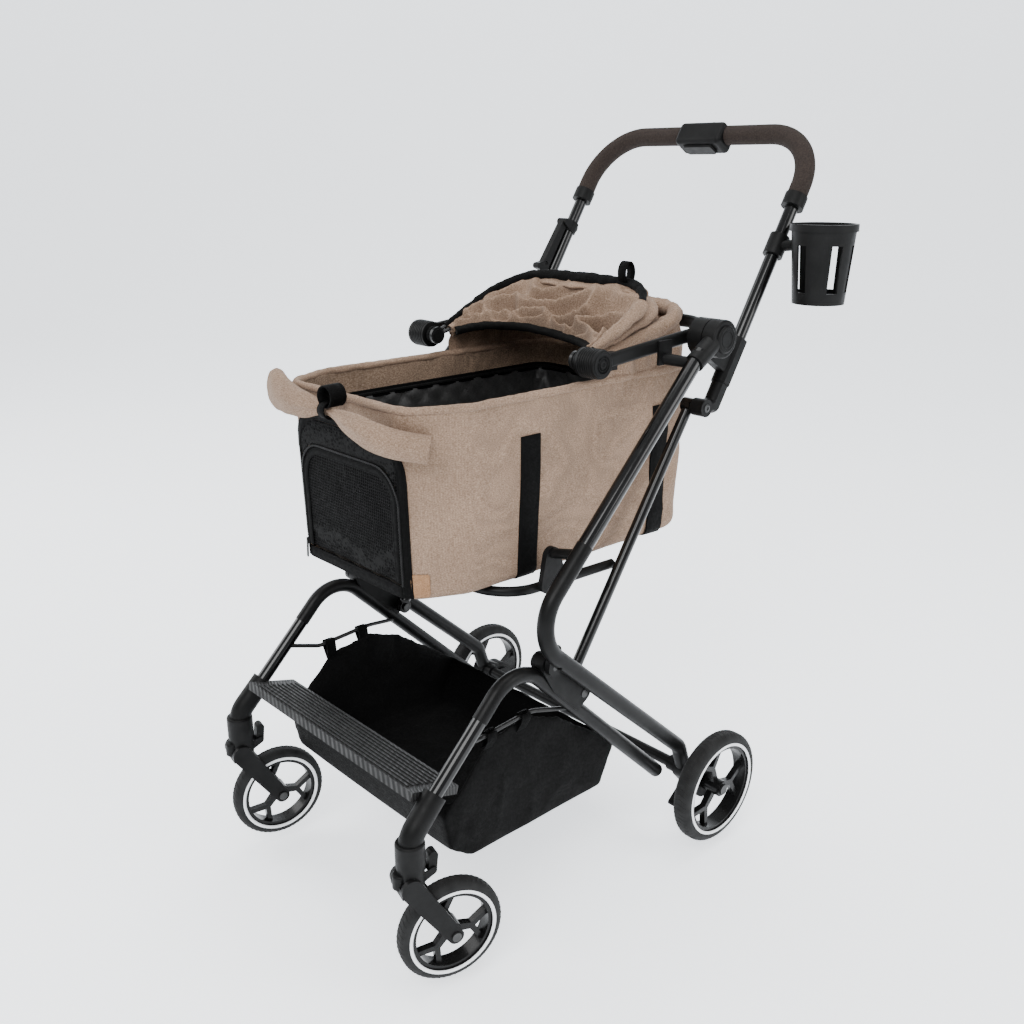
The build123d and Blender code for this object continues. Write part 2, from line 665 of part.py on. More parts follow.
def hook_mount():
    """Clip on the handle tube that carries the hook's pin."""
    a = handle_dir(HOOK_TOP, HOOK_OFF)
    x = X_HANDLE
    ring = bar((x, *handle_dir(HOOK_TOP - 9)), (x, *handle_dir(HOOK_TOP + 9)), 12.5)
    mount = ring
    for side in (-1, 1):
        mount += plate(x + side * 8.5 - 1.8, x + side * 8.5 + 1.8, [(*a, 6), (*handle_dir(HOOK_TOP), 9)])
    mount -= bar((x, *handle_dir(HOOK_TOP - 20)), (x, *handle_dir(HOOK_TOP + 20)), TUBE_HANDLE_R)
    mount += rod(x - 9, x + 9, a, 3)
    return left(mount)


def brake_pedal():
    """Foot pedal on the axle housing that pushes a pin into the wheel."""
    x0, x1 = X_REAR - 8, X_REAR + 10
    pedal = plate(x0, x1, [(*BRAKE_PIN, 6.5), (*polar(BRAKE_PIN, 215, 26), 4.5)])
    return pedal - rod(x0 - 1, x1 + 1, BRAKE_PIN, 3 + RUN_GAP)


def front_pins():
    """Saddle pins, one at each front hinge and one at each link foot."""
    hinge = rod(X_FRONT - 12, X_REAR - 1, FRONT_FOLD, SADDLE_PIN_R)
    foot = rod(X_LINK - 10, X_FRONT + 14, LINK_LOW, SADDLE_PIN_R) + rod(X_FRONT + 13, X_FRONT + 14, LINK_LOW, 6)
    foot += rod(X_LINK - 12, X_LINK - 10, LINK_LOW, 6)
    return group(both(hinge), both(foot))


# ---- write one file per sub-part ----
def nodes():
    out = {}
    for name, make in (("rear_leg", rear_leg), ("front_sleeve", front_sleeve), ("arch_leg", arch_leg),
                       ("brake_pedal", brake_pedal)):
        shape = make()
        out[name + "_right"] = shape
        out[name + "_left"] = left(shape)
    for make in (push_tube, hub_knuckle, hub_cap, hub_pivot, axle_housing, rear_axle, canopy_hub,
                 under_frame_lug, front_leg, saddle, basket_rail, fold_joint, handle_elbow, link_bar):
        out[make.__name__ + "s"] = group(both(make()))
    for make in (rear_crossbar, seat_frame, under_frame, carrier_shell, mesh_door, base_board,
                 floor_cushion, front_roll, canopy_fabric, footrest, basket, front_pins, handle_tube,
                 grip_foam, grip_collars, release_housing, release_button, squeeze_trigger, cup_holder,
                 cup_clamp, fold_hook, hook_mount):
        out[make.__name__] = make()
    out["canopy_bow_front"] = canopy_bow(*BOW_FRONT)
    out["canopy_bow_middle"] = canopy_bow(*BOW_MIDDLE)
    rear_at = Pos(REAR_WHEEL_X, REAR_AXLE_Y, REAR_WHEEL_R)
    tyre = rear_at * wheel_tyre(REAR_WHEEL_R, REAR_WHEEL_W, REAR_RIM_R)
    rim = rear_at * wheel_rim(REAR_RIM_R, REAR_WHEEL_W, 5)
    out["rear_tyre_right"] = tyre
    out["rear_tyre_left"] = left(tyre)
    out["rear_rim_right"] = rim
    out["rear_rim_left"] = left(rim)
    wheel_at = Pos(0, SWIVEL_TRAIL, FRONT_WHEEL_R)
    parts = {"caster_fork": caster_fork(), "caster_axle": caster_axle(), "swivel_lock": swivel_lock(),
             "front_tyre": wheel_at * wheel_tyre(FRONT_WHEEL_R, FRONT_WHEEL_W, FRONT_RIM_R),
             "front_rim": wheel_at * wheel_rim(FRONT_RIM_R, FRONT_WHEEL_W, 4)}
    for name, shape in parts.items():
        out[name + "_right"] = caster_place(shape, CASTER_TURN_RIGHT)
        out[name + "_left"] = Pos(-2 * STEM_X, 0, 0) * caster_place(shape, CASTER_TURN_LEFT)
    return out


os.makedirs("parts", exist_ok=True)
for name, shape in nodes().items():
    export_step(shape, f"parts/{name}.step")
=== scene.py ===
import json
import math

import bpy
from mathutils import Matrix, Vector, noise


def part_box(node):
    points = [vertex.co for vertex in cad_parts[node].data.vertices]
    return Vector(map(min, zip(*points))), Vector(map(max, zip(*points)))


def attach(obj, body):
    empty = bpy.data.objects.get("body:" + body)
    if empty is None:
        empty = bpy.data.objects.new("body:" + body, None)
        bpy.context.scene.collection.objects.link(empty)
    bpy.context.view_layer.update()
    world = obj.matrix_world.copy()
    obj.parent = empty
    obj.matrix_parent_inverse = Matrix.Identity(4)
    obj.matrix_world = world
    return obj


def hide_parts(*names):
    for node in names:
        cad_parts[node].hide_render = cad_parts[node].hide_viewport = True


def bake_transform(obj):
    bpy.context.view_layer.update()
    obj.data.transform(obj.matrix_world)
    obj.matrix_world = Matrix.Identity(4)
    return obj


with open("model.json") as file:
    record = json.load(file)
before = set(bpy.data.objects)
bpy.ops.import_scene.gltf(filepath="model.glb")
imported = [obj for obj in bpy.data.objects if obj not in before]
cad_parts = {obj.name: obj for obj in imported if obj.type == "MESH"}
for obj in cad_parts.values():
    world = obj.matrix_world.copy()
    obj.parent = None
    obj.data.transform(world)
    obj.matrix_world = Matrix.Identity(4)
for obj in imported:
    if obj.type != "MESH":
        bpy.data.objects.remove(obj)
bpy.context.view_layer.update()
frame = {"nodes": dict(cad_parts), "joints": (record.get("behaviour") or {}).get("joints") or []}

# Pet stroller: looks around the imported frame. Metres; lengths below in mm go through mm().
MM = 0.001
joints = {j["name"]: j for j in frame["joints"]}

# ---- dimensions repeated from the part, mm ----
BAG_FLOOR, BAG_RIM = 492.0, 748.0
BAG_FRONT_Y, BAG_REAR_Y = -184.0, 322.0
BAG_FILLET = 34.0
DOOR_HALF, DOOR_LOW, DOOR_HIGH, DOOR_ROUND = 110.5, 514.0, 666.5, 46.0
PANEL_TOP = 704.0  # top of the fixed mesh panel over the door
HUB = (87.0, 778.0)  # y, z of the canopy hubs
HUB_FACE_X = 199.0
BOW_FRONT = (26.0, 195.0, 158.0)  # angle in degrees, reach, half width
BOW_MIDDLE = (16.0, 214.0, 150.0)
BOW_CORNER = 0.55  # corner radius as a share of the half width
FOLD = (281.0, 797.0)  # y, z of the fold joints
FOLD_CAP_X = 254.0
SILL_Z, STRAP_LOW, PATCH_HIGH = 503.5, 494.0, 34.0
LINING_LOW, LINING_HIGH = 506.0, 704.0


def mm(x, y, z):
    return Vector((x, y, z)) * MM


# ---- camera ----
cam_data = bpy.data.cameras.new("camera")
cam_data.sensor_width = 36.0
cam_data.lens = 36.96
cam_data.clip_end = 60
camera = bpy.data.objects.new("camera", cam_data)
camera.location = (1.1305, -0.9314, 1.0279)
camera.rotation_euler = (math.radians(90 - 18.254), 0, math.radians(47.437))
bpy.context.collection.objects.link(camera)
bpy.context.scene.camera = camera


# ---- materials ----
class Finish:
    """A procedural material built step by step."""

    def __init__(self, name):
        self.material = bpy.data.materials.new(name)
        self.material.use_nodes = True
        self.tree = self.material.node_tree
        self.shader = self.tree.nodes["Principled BSDF"]
        self.coords = self.tree.nodes.new("ShaderNodeTexCoord").outputs["Object"]
        self.normal = None

    def link(self, source, target):
        self.tree.links.new(source, target)

    def noise(self, size, detail=3.0, stretch=(1, 1, 1)):
        """Noise whose blotches are about size mm."""
        mapping = self.tree.nodes.new("ShaderNodeMapping")
        mapping.inputs["Scale"].default_value = stretch
        self.link(self.coords, mapping.inputs["Vector"])
        node = self.tree.nodes.new("ShaderNodeTexNoise")
        node.inputs["Scale"].default_value = 1 / (size * MM)
        node.inputs["Detail"].default_value = detail
        self.link(mapping.outputs["Vector"], node.inputs["Vector"])
        return node.outputs["Fac"]

    def bands(self, pitch, axis, distort=0.0):
        """Parallel ridges with the given pitch in mm along one axis."""
        node = self.tree.nodes.new("ShaderNodeTexWave")
        node.bands_direction = axis
        node.inputs["Scale"].default_value = math.pi / 10 / (pitch * MM)
        node.inputs["Distortion"].default_value = distort
        node.inputs["Detail"].default_value = 1.0
        self.link(self.coords, node.inputs["Vector"])
        return node.outputs["Fac"]

    def cells(self, size):
        """Distance to the edges of cells about size mm wide."""
        node = self.tree.nodes.new("ShaderNodeTexVoronoi")
        node.feature = "DISTANCE_TO_EDGE"
        node.inputs["Scale"].default_value = 1 / (size * MM)
        node.inputs["Randomness"].default_value = 0.25
        self.link(self.coords, node.inputs["Vector"])
        return node.outputs["Distance"]

    def math(self, kind, a, b):
        node = self.tree.nodes.new("ShaderNodeMath")
        node.operation = kind
        for socket, value in zip(node.inputs, (a, b)):
            if isinstance(value, (int, float)):
                socket.default_value = value
            else:
                self.link(value, socket)
        return node.outputs[0]

    def ramp(self, factor, stops):
        node = self.tree.nodes.new("ShaderNodeValToRGB")
        band = node.color_ramp.elements
        while len(band) < len(stops):
            band.new(0.5)
        for element, (position, colour) in zip(band, stops):
            element.position = position
            element.color = (*colour, 1) if hasattr(colour, "__len__") else (colour, colour, colour, 1)
        self.link(factor, node.inputs["Fac"])
        return node.outputs["Color"]

    def multiply(self, a, b, amount=1.0):
        node = self.tree.nodes.new("ShaderNodeMix")
        node.data_type = "RGBA"
        node.blend_type = "MULTIPLY"
        node.inputs["Factor"].default_value = amount
        self.link(a, node.inputs[6])
        self.link(b, node.inputs[7])
        return node.outputs[2]

    def colour(self, source):
        self.link(source, self.shader.inputs["Base Color"])

    def rough(self, factor, low, high):
        self.link(self.ramp(factor, [(0.25, low), (0.75, high)]), self.shader.inputs["Roughness"])

    def bump(self, height, depth, strength=1.0):
        """Relief of depth mm, on top of the relief so far."""
        node = self.tree.nodes.new("ShaderNodeBump")
        node.inputs["Strength"].default_value = strength
        node.inputs["Distance"].default_value = depth * MM
        self.link(height, node.inputs["Height"])
        if self.normal:
            self.link(self.normal, node.inputs["Normal"])
        self.normal = node.outputs["Normal"]
        self.link(self.normal, self.shader.inputs["Normal"])

    def set(self, **values):
        for key, value in values.items():
            self.shader.inputs[key.replace("_", " ")].default_value = value
        return self


def plastic(name, dark, light, rough, grain, depth, wear=0.25, coat=0.0, gloss=0.10, metallic=0.0):
    """Moulded or painted surface: fine grain, slow tone change, uneven gloss."""
    f = Finish(name)
    f.colour(f.ramp(f.noise(38, 4), [(0.3, dark), (0.72, light)]))
    f.rough(f.noise(9, 4), rough * (1 - wear), rough * (1 + wear))
    f.bump(f.noise(grain, 3), depth)
    f.bump(f.noise(16, 2), 0.12, 0.5)
    f.set(Coat_Weight=coat, Coat_Roughness=0.08, Specular_IOR_Level=gloss, Metallic=metallic)
    return f.material


def woven(name, stops, thread, speckle, depth, sheen=0.25, rough=0.85, gloss=0.12):
    """Woven cloth: threads in three directions and a melange of tones."""
    f = Finish(name)
    tone = f.ramp(f.noise(speckle, 5, (1, 1, 1.8)), stops)
    drift = f.ramp(f.noise(70, 3), [(0.3, 0.82), (0.7, 1.0)])
    weave = f.math("ADD", f.math("ADD", f.bands(thread, "X", 1.2), f.bands(thread, "Y", 1.2)),
                   f.bands(thread * 0.9, "Z", 1.2))
    weave = f.math("MULTIPLY", weave, 0.333)
    # Painted shade: the colour is darkened in the grooves of the weave, on top of the bump from the same
    # pattern.
    painted_groove_shade = f.ramp(weave, [(0.2, 0.72), (0.75, 1.0)])
    f.colour(f.multiply(f.multiply(tone, drift), painted_groove_shade, 0.8))
    f.rough(f.noise(5, 3), rough - 0.1, min(1.0, rough + 0.1))
    f.bump(weave, depth)
    f.bump(f.noise(22, 4), 0.8, 0.35)
    f.set(Sheen_Weight=sheen, Sheen_Roughness=0.5, Specular_IOR_Level=gloss)
    return f.material


BEIGE = woven("beige_melange",
              [(0.26, (0.135, 0.085, 0.056)), (0.43, (0.225, 0.150, 0.104)), (0.57, (0.290, 0.200, 0.142)),
               (0.76, (0.385, 0.280, 0.205))], 1.5, 2.3, 0.4, 0.05)
BEIGE_DARK = woven("beige_facing",
                   [(0.28, (0.11, 0.070, 0.046)), (0.5, (0.21, 0.145, 0.100)), (0.72, (0.32, 0.23, 0.165))],
                   1.5, 3.0, 0.45, 0.05)
BLACK_CLOTH = woven("black_canvas", [(0.3, 0.0012), (0.55, 0.003), (0.75, 0.007)],
                    1.3, 3.0, 0.45, 0.01, 0.75, 0.07)
WEBBING = woven("black_webbing", [(0.3, 0.0008), (0.6, 0.002), (0.8, 0.005)], 2.2, 2.0, 0.5, 0.0, 0.7, 0.06)
LINING = woven("black_lining", [(0.3, 0.008), (0.55, 0.014), (0.75, 0.030)], 0.9, 4.0, 0.2, 0.12, 0.36, 0.7)
PATCH = woven("tan_patch",
              [(0.3, (0.20, 0.105, 0.052)), (0.5, (0.29, 0.16, 0.085)), (0.7, (0.38, 0.23, 0.13))],
              1.2, 1.8, 0.25, 0.05)
GLOSS_TUBE = plastic("gloss_black_paint", 0.002, 0.005, 0.15, 1.2, 0.02, 0.3, 0.3, 0.18)
MATTE_TUBE = plastic("satin_black_paint", 0.003, 0.007, 0.36, 1.0, 0.03, 0.2)
MOULDED = plastic("textured_plastic", 0.003, 0.007, 0.46, 0.9, 0.07, 0.2)
SOFT_PLASTIC = plastic("soft_touch_plastic", 0.004, 0.009, 0.42, 0.7, 0.05, 0.2)
RIM = plastic("rim_plastic", 0.004, 0.009, 0.28, 1.1, 0.03, 0.25, 0.1)
STEEL = plastic("blackened_steel", 0.03, 0.08, 0.32, 0.8, 0.03, 0.3, metallic=0.8)
WIRE = plastic("black_wire_coat", 0.008, 0.016, 0.3, 0.9, 0.03, 0.25, 0.2)
REFLECT = plastic("reflective_band", (0.72, 0.73, 0.74), (0.86, 0.87, 0.88), 0.35, 0.6, 0.05, 0.2, 0.0, 0.5)


def rubber():
    f = Finish("tyre_rubber")
    f.colour(f.ramp(f.noise(12, 4), [(0.3, 0.006), (0.7, 0.014)]))
    f.rough(f.noise(6, 4), 0.62, 0.85)
    f.bump(f.noise(1.1, 3), 0.12)
    f.set(Specular_IOR_Level=0.2)
    return f.material


def foam():
    f = Finish("grip_foam")
    f.colour(f.ramp(f.noise(2.0, 5), [(0.3, (0.014, 0.010, 0.009)), (0.7, (0.032, 0.024, 0.020))]))
    f.rough(f.noise(4, 3), 0.8, 0.95)
    f.bump(f.cells(1.4), 0.25, 0.6)
    f.set(Specular_IOR_Level=0.15)
    return f.material


def open_mesh():
    f = Finish("black_mesh")
    holes = f.cells(4.2)
    # Painted light: the lighter thread edges are painted highlights, and the near-black cell centres are
    # painted shade for the dark inside seen through the holes of this opaque sheet.
    f.colour(f.ramp(holes, [(0.05, 0.010), (0.12, 0.0015), (0.20, 0.0)]))
    f.rough(f.noise(8, 3), 0.45, 0.65)
    f.bump(f.ramp(holes, [(0.05, 1.0), (0.3, 0.0)]), 1.4)
    f.set(Specular_IOR_Level=0.02)
    return f.material


def ribbed_step():
    f = Finish("ribbed_step")
    turned = f.tree.nodes.new("ShaderNodeMapping")
    turned.inputs["Rotation"].default_value = (0, 0, math.radians(24))
    f.link(f.coords, turned.inputs["Vector"])
    f.coords = turned.outputs["Vector"]
    f.colour(f.ramp(f.noise(30, 4), [(0.3, 0.008), (0.7, 0.016)]))
    f.rough(f.noise(9, 4), 0.42, 0.6)
    f.bump(f.bands(4.6, "Y"), 0.7)
    f.bump(f.noise(0.9, 3), 0.07)
    f.set(Specular_IOR_Level=0.25)
    return f.material


RUBBER, FOAM, MESH, STEP = rubber(), foam(), open_mesh(), ribbed_step()

FINISHES = {
    GLOSS_TUBE: ["push_tubes", "front_legs", "link_bars", "handle_tube"],
    MATTE_TUBE: ["rear_leg_right", "rear_leg_left", "arch_leg_right", "arch_leg_left", "rear_crossbar",
                 "under_frame", "seat_frame"],
    MOULDED: ["front_sleeve_right", "front_sleeve_left", "saddles", "hub_knuckles", "fold_joints",
              "handle_elbows", "axle_housings", "canopy_hubs", "under_frame_lugs", "release_housing",
              "hook_mount", "fold_hook", "brake_pedal_right", "brake_pedal_left", "caster_fork_right",
              "caster_fork_left", "swivel_lock_right", "swivel_lock_left", "grip_collars", "base_board",
              "hub_caps"],
    SOFT_PLASTIC: ["cup_holder", "cup_clamp", "release_button", "squeeze_trigger"],
    RIM: ["front_rim_right", "front_rim_left", "rear_rim_right", "rear_rim_left"],
    RUBBER: ["front_tyre_right", "front_tyre_left", "rear_tyre_right", "rear_tyre_left"],
    STEEL: ["hub_pivots", "rear_axles", "front_pins", "caster_axle_right", "caster_axle_left"],
    WIRE: ["basket_rails", "canopy_bow_front", "canopy_bow_middle"],
    FOAM: ["grip_foam"],
    STEP: ["footrest"],
    BEIGE: ["carrier_shell", "front_roll", "canopy_fabric"],
    BLACK_CLOTH: ["basket", "floor_cushion"],
    MESH: ["mesh_door"],
}
for material, names in FINISHES.items():
    for node in names:
        for slot in frame["nodes"][node].material_slots:
            slot.material = material


# ---- mesh helpers ----
def piece(name, verts, faces, material, body=None, smooth=True):
    """A mesh object from points in metres."""
    mesh = bpy.data.meshes.new(name)
    mesh.from_pydata([tuple(v) for v in verts], [], faces)
    mesh.validate()
    mesh.materials.append(material)
    for polygon in mesh.polygons:
        polygon.use_smooth = smooth
    obj = bpy.data.objects.new(name, mesh)
    bpy.context.collection.objects.link(obj)
    if body:
        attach(obj, body)
    return obj


def quads(rows, columns, wrap_columns=False, wrap_rows=False, keep=None):
    """Faces of a grid of points stored row by row."""
    faces = []
    for i in range(rows if wrap_rows else rows - 1):
        for j in range(columns if wrap_columns else columns - 1):
            a, b = i * columns + j, i * columns + (j + 1) % columns
            c, d = ((i + 1) % rows) * columns + (j + 1) % columns, ((i + 1) % rows) * columns + j
            if keep is None or keep(i, j):
                faces.append((a, b, c, d))
    return faces


def settle(obj, *modifiers):
    """Adds modifiers (kind, settings) and applies them to the mesh."""
    for kind, settings in modifiers:
        modifier = obj.modifiers.new(kind.lower(), kind)
        for key, value in settings.items():
            setattr(modifier, key, value)
    graph = bpy.context.evaluated_depsgraph_get()
    mesh = bpy.data.meshes.new_from_object(obj.evaluated_get(graph))
    obj.modifiers.clear()
    obj.data = mesh
    for polygon in mesh.polygons:
        polygon.use_smooth = True
    return obj


SUBDIVIDE = ("SUBSURF", {"levels": 1, "render_levels": 1})


def thicken(obj, thickness):
    """Gives a sheet its thickness in mm and rounds it with one subdivision."""
    return settle(obj, ("SOLIDIFY", {"thickness": thickness * MM, "offset": 0.0}), SUBDIVIDE)


def spaced(path, step):
    """Points every step mm along a polyline in metres, both ends kept."""
    lengths = [0.0]
    for a, b in zip(path, path[1:]):
        lengths.append(lengths[-1] + (b - a).length)
    count = max(2, round(lengths[-1] / (step * MM)) + 1)
    points, k = [], 0
    for i in range(count):
        target = lengths[-1] * i / (count - 1)
        while k < len(path) - 2 and lengths[k + 1] < target:
            k += 1
        span = max(1e-9, lengths[k + 1] - lengths[k])
        points.append(path[k].lerp(path[k + 1], min(1, (target - lengths[k]) / span)))
    return points


def smooth_path(points, step=4.0, closed=False):
    """Catmull-Rom curve through the points (metres), sampled every step mm."""
    pts = [Vector(p) for p in points]
    ends = (pts[-1], pts[0], pts[1]) if closed else (pts[0] * 2 - pts[1], None, None)
    ring = [ends[0]] + pts + ([ends[1], ends[2]] if closed else [pts[-1] * 2 - pts[-2]])
    out = []
    for p0, p1, p2, p3 in zip(ring, ring[1:], ring[2:], ring[3:]):
        for i in range(12):
            t = i / 12
            out.append(0.5 * (2 * p1 + (p2 - p0) * t + (2 * p0 - 5 * p1 + 4 * p2 - p3) * t * t
                              + (3 * p1 - p0 - 3 * p2 + p3) * t ** 3))
    out.append(ring[-2].copy())
    return spaced(out, step)


def tangents(path, closed=False):
    n = len(path)
    out = []
    for i in range(n):
        a = path[(i - 1) % n] if closed else path[max(0, i - 1)]
        b = path[(i + 1) % n] if closed else path[min(n - 1, i + 1)]
        out.append((b - a).normalized())
    return out


def sleeve(name, path, radius, material, body, sides=16, wrinkle=0.0, closed=False, squash=1.0):
    """Fabric tube along a path; radius in mm, a number or a function of the share along the path."""
    verts = []
    along = tangents(path, closed)
    up = Vector((0.13, 0.2, 1)).normalized()
    for i, (p, t) in enumerate(zip(path, along)):
        side = t.cross(up).normalized()
        lift = side.cross(t)
        share = i / (len(path) - 1)
        r = radius(share) if callable(radius) else radius
        for k in range(sides):
            a = 2 * math.pi * k / sides
            ripple = wrinkle * noise.noise(Vector((p.x * 60, p.y * 60, p.z * 60 + a * 1.3)))
            ripple += 0.6 * wrinkle * noise.noise(Vector((p.x * 190, p.y * 190, a)))
            d = (r + ripple) * MM
            verts.append(p + side * math.cos(a) * d + lift * math.sin(a) * d * squash)
    faces = quads(len(path), sides, wrap_columns=True, wrap_rows=closed)
    if not closed:
        faces.append(tuple(range(sides)))
        last = (len(path) - 1) * sides
        faces.append(tuple(reversed(range(last, last + sides))))
    return piece(name, verts, faces, material, body)


def band(name, path, normals, width, thickness, material, body, slot, closed=False, ridge=0.0, stitch=0.0):
    """Flat webbing along a path, lying on a surface with the given normals; sizes in mm."""
    verts = []
    along = tangents(path, closed)
    half, t = width / 2, thickness
    profile = [(-half, 0), (-half, t * 0.7), (-half + 0.8, t), (-half * 0.62, t - stitch), (-half * 0.5, t),
               (0, t), (half * 0.5, t), (half * 0.62, t - stitch), (half - 0.8, t), (half, t * 0.7),
               (half, 0), (0, -0.1)]
    for i, (p, n, tangent) in enumerate(zip(path, normals, along)):
        side = tangent.cross(n).normalized()
        swell = ridge if i % 2 else 0.0
        for across, height in profile:
            lift = height + (swell if height > 0.5 * t else 0)
            verts.append(p + (side * across + n * lift) * MM)
    count = len(profile)
    faces = quads(len(path), count, wrap_columns=True, wrap_rows=closed)
    if not closed:
        last = (len(path) - 1) * count
        faces.append(tuple(reversed(range(count))))
        faces.append(tuple(range(last, last + count)))
    return piece(name, verts, faces, material, body)


def lathe(name, profile, centre, axis, material, body, segments=48):
    """Closed (radius, offset) profile in mm turned about an axis."""
    axis = Vector(axis).normalized()
    side = axis.orthogonal().normalized()
    lift = axis.cross(side)
    verts = []
    for k in range(segments):
        a = 2 * math.pi * k / segments
        out = side * math.cos(a) + lift * math.sin(a)
        for radius, offset in profile:
            verts.append(centre + (out * radius + axis * offset) * MM)
    faces = quads(segments, len(profile), wrap_columns=True, wrap_rows=True)
    obj = piece(name, verts, faces, material, body)
    bevel_shading(obj)
    return obj


def bevel_shading(obj, angle=40):
    obj.data.set_sharp_from_angle(angle=math.radians(angle))


def stepped_disc(rings, base=0.0):
    """Profile of a face with raised rings: (inner, outer, height) each, closed to the axis."""
    top = [(0.02, base)]
    for inner, outer, height in rings:
        top += [(inner, base), (inner + 0.25, base + height), (outer - 0.25, base + height), (outer, base)]
    edge = rings[-1][1]
    return top + [(edge, base - 1.0), (0.02, base - 1.0)]


def screw(name, centre, axis, radius, body):
    """Screw head with a socket recess."""
    r = radius
    profile = [(0.02, 0.3), (r * 0.42, 0.3), (r * 0.46, 1.3), (r * 0.8, 1.5), (r * 0.96, 1.1), (r, 0.4),
               (r, -0.6), (0.02, -0.6)]
    return lathe(name, profile, centre, axis, STEEL, body, 24)


# ---- shapes shared by the soft pieces ----
def ease(x, low, high):
    t = min(1.0, max(0.0, (x - low) / (high - low)))
    return t * t * (3 - 2 * t)


def lumps(p, size, seed=0.0):
    """Smooth noise from -1 to 1 with features of about size mm; p in mm."""
    return noise.noise(Vector((p[0] / size + seed, p[1] / size - seed, p[2] / size + 2 * seed)))


def creases(p, size, seed=0.0):
    """Ridged noise from 0 to 1, sharp at the ridges."""
    return (1 - min(1.0, abs(lumps(p, size, seed)) * 2.4)) ** 2


def rounded(corners, radii, samples=12):
    """Plane polyline with its inner corners rounded, as dense points."""
    out = [Vector(corners[0])]
    for before, corner, after, radius in zip(corners, corners[1:], corners[2:], radii):
        corner = Vector(corner)
        u = (corner - Vector(before)).normalized()
        w = (Vector(after) - corner).normalized()
        turn = math.acos(max(-1, min(1, u.dot(w))))
        inward = (w - u * u.dot(w)).normalized()
        start = corner - u * radius * math.tan(turn / 2)
        for i in range(samples + 1):
            a = turn * i / samples
            out.append(start + (u * math.sin(a) + inward * (1 - math.cos(a))) * radius)
    out.append(Vector(corners[-1]))
    return out


# ---- carrier bag ----
DOOR_COLUMNS, SIDE_COLUMNS = 13, 96


def plan_half(t, grow):
    """Right half of the bag's plan, from the front centre to the rear centre."""
    front, rear = 122 + 6 * t + grow, 156 + 6 * t + grow
    y0, y1 = BAG_FRONT_Y - 6 * t - grow, BAG_REAR_Y + grow
    corners = [(0, y0), (front, y0), (rear, y0 + 75), (rear, y1), (0, y1)]
    return rounded(corners, [BAG_FILLET + grow] * 3)


def bag_stations(z, grow):
    """Right-half points at the shares that every row of the bag uses."""
    t = (z - BAG_FLOOR) / (BAG_RIM - BAG_FLOOR)
    path = plan_half(t, grow)
    lengths = [0.0]
    for a, b in zip(path, path[1:]):
        lengths.append(lengths[-1] + (b - a).length)
    k = next(i for i, p in enumerate(path) if p.x > DOOR_HALF)
    share = (DOOR_HALF - path[k - 1].x) / (path[k].x - path[k - 1].x)
    door = lengths[k - 1] + share * (lengths[k] - lengths[k - 1])
    stops = [door * i / DOOR_COLUMNS for i in range(DOOR_COLUMNS + 1)]
    stops += [door + (lengths[-1] - door) * i / SIDE_COLUMNS for i in range(1, SIDE_COLUMNS + 1)]
    points, k = [], 0
    for s in stops:
        while k < len(path) - 2 and lengths[k + 1] < s:
            k += 1
        points.append(path[k].lerp(path[k + 1], (s - lengths[k]) / max(1e-9, lengths[k + 1] - lengths[k])))
    return points


def bag_ring(z, grow=0.0):
    """Closed ring of (point in mm, outward normal) round the bag at height z."""
    right = bag_stations(z, grow)
    ring = right + [Vector((-p.x, p.y)) for p in reversed(right[1:-1])]
    count = len(ring)
    out = []
    for i, p in enumerate(ring):
        run = (ring[(i + 1) % count] - ring[i - 1]).normalized()
        out.append((Vector((p.x, p.y, z)), Vector((run.y, -run.x, 0))))
    return out


RING = 2 * (DOOR_COLUMNS + SIDE_COLUMNS)


def bag_push(p, n):
    """How far the cloth stands out from the straight wall, mm."""
    t = (p.z - BAG_FLOOR) / (BAG_RIM - BAG_FLOOR)
    calm = ease(n.y, -0.95, -0.3)
    push = calm * 4.0 * math.sin(math.pi * min(1, max(0, t))) * (0.5 + 0.5 * abs(n.x))
    push += calm * (2.6 * lumps(p, 95, 1.7) + 1.1 * lumps(p, 38, 4.1))
    slant = Vector((p.x, p.y * 0.8 + p.z * 0.6, p.z * 0.8 - p.y * 0.6))
    push += calm * ease(p.y, 60, 200) * 2.4 * creases((slant.x * 0.2, slant.y * 0.35, slant.z), 34, 2.2)
    gather = ease(p.z, 690, 744) * ease(p.y, 30, 90)
    push += gather * 1.8 * math.sin((p.y + p.x * 0.4) * 0.42 + 2.5 * lumps(p, 30, 6.0))
    low = max(0.0, 13 - (p.z - BAG_FLOOR))
    return push - (13 - math.sqrt(max(0.0, 169 - low * low)))


def in_door(x, z, margin=0.0):
    """Whether (x, z) is inside the round-cornered door outline."""
    half, top = DOOR_HALF + margin, DOOR_HIGH + margin
    if abs(x) > half or not DOOR_LOW - margin < z < top:
        return False
    dx, dz = abs(x) - (half - DOOR_ROUND), z - (top - DOOR_ROUND)
    return dx < 0 or dz < 0 or math.hypot(dx, dz) < DOOR_ROUND


def bag_wall(name, heights, grow, material, relief, keep_door=True, thickness=1.8):
    """Sheet round the bag through the given heights, with the door cut out."""
    rings = [bag_ring(z, grow) for z in heights]
    verts = []
    for ring in rings:
        for p, n in ring:
            verts.append((p + n * relief(p, n)) * MM)

    def keep(i, j):
        a, b = rings[i][j][0], rings[i + 1][(j + 1) % RING][0]
        mid = (a + b) / 2
        return not (keep_door and mid.y < -140 and in_door(mid.x, mid.z, 2.0))

    obj = piece(name, verts, quads(len(rings), RING, wrap_columns=True, keep=keep), material, None)
    return thicken(obj, thickness)


def steps(low, high, count):
    return [low + (high - low) * i / count for i in range(count)]


bag_heights = [492, 493.5, 496, 500, 505] + steps(509.5, DOOR_HIGH, 22) + steps(DOOR_HIGH, 742, 11) + [742]
bag = bag_wall("carrier_bag", bag_heights, 0.0, BEIGE, bag_push)
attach(bag, "chassis")
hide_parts("carrier_shell")

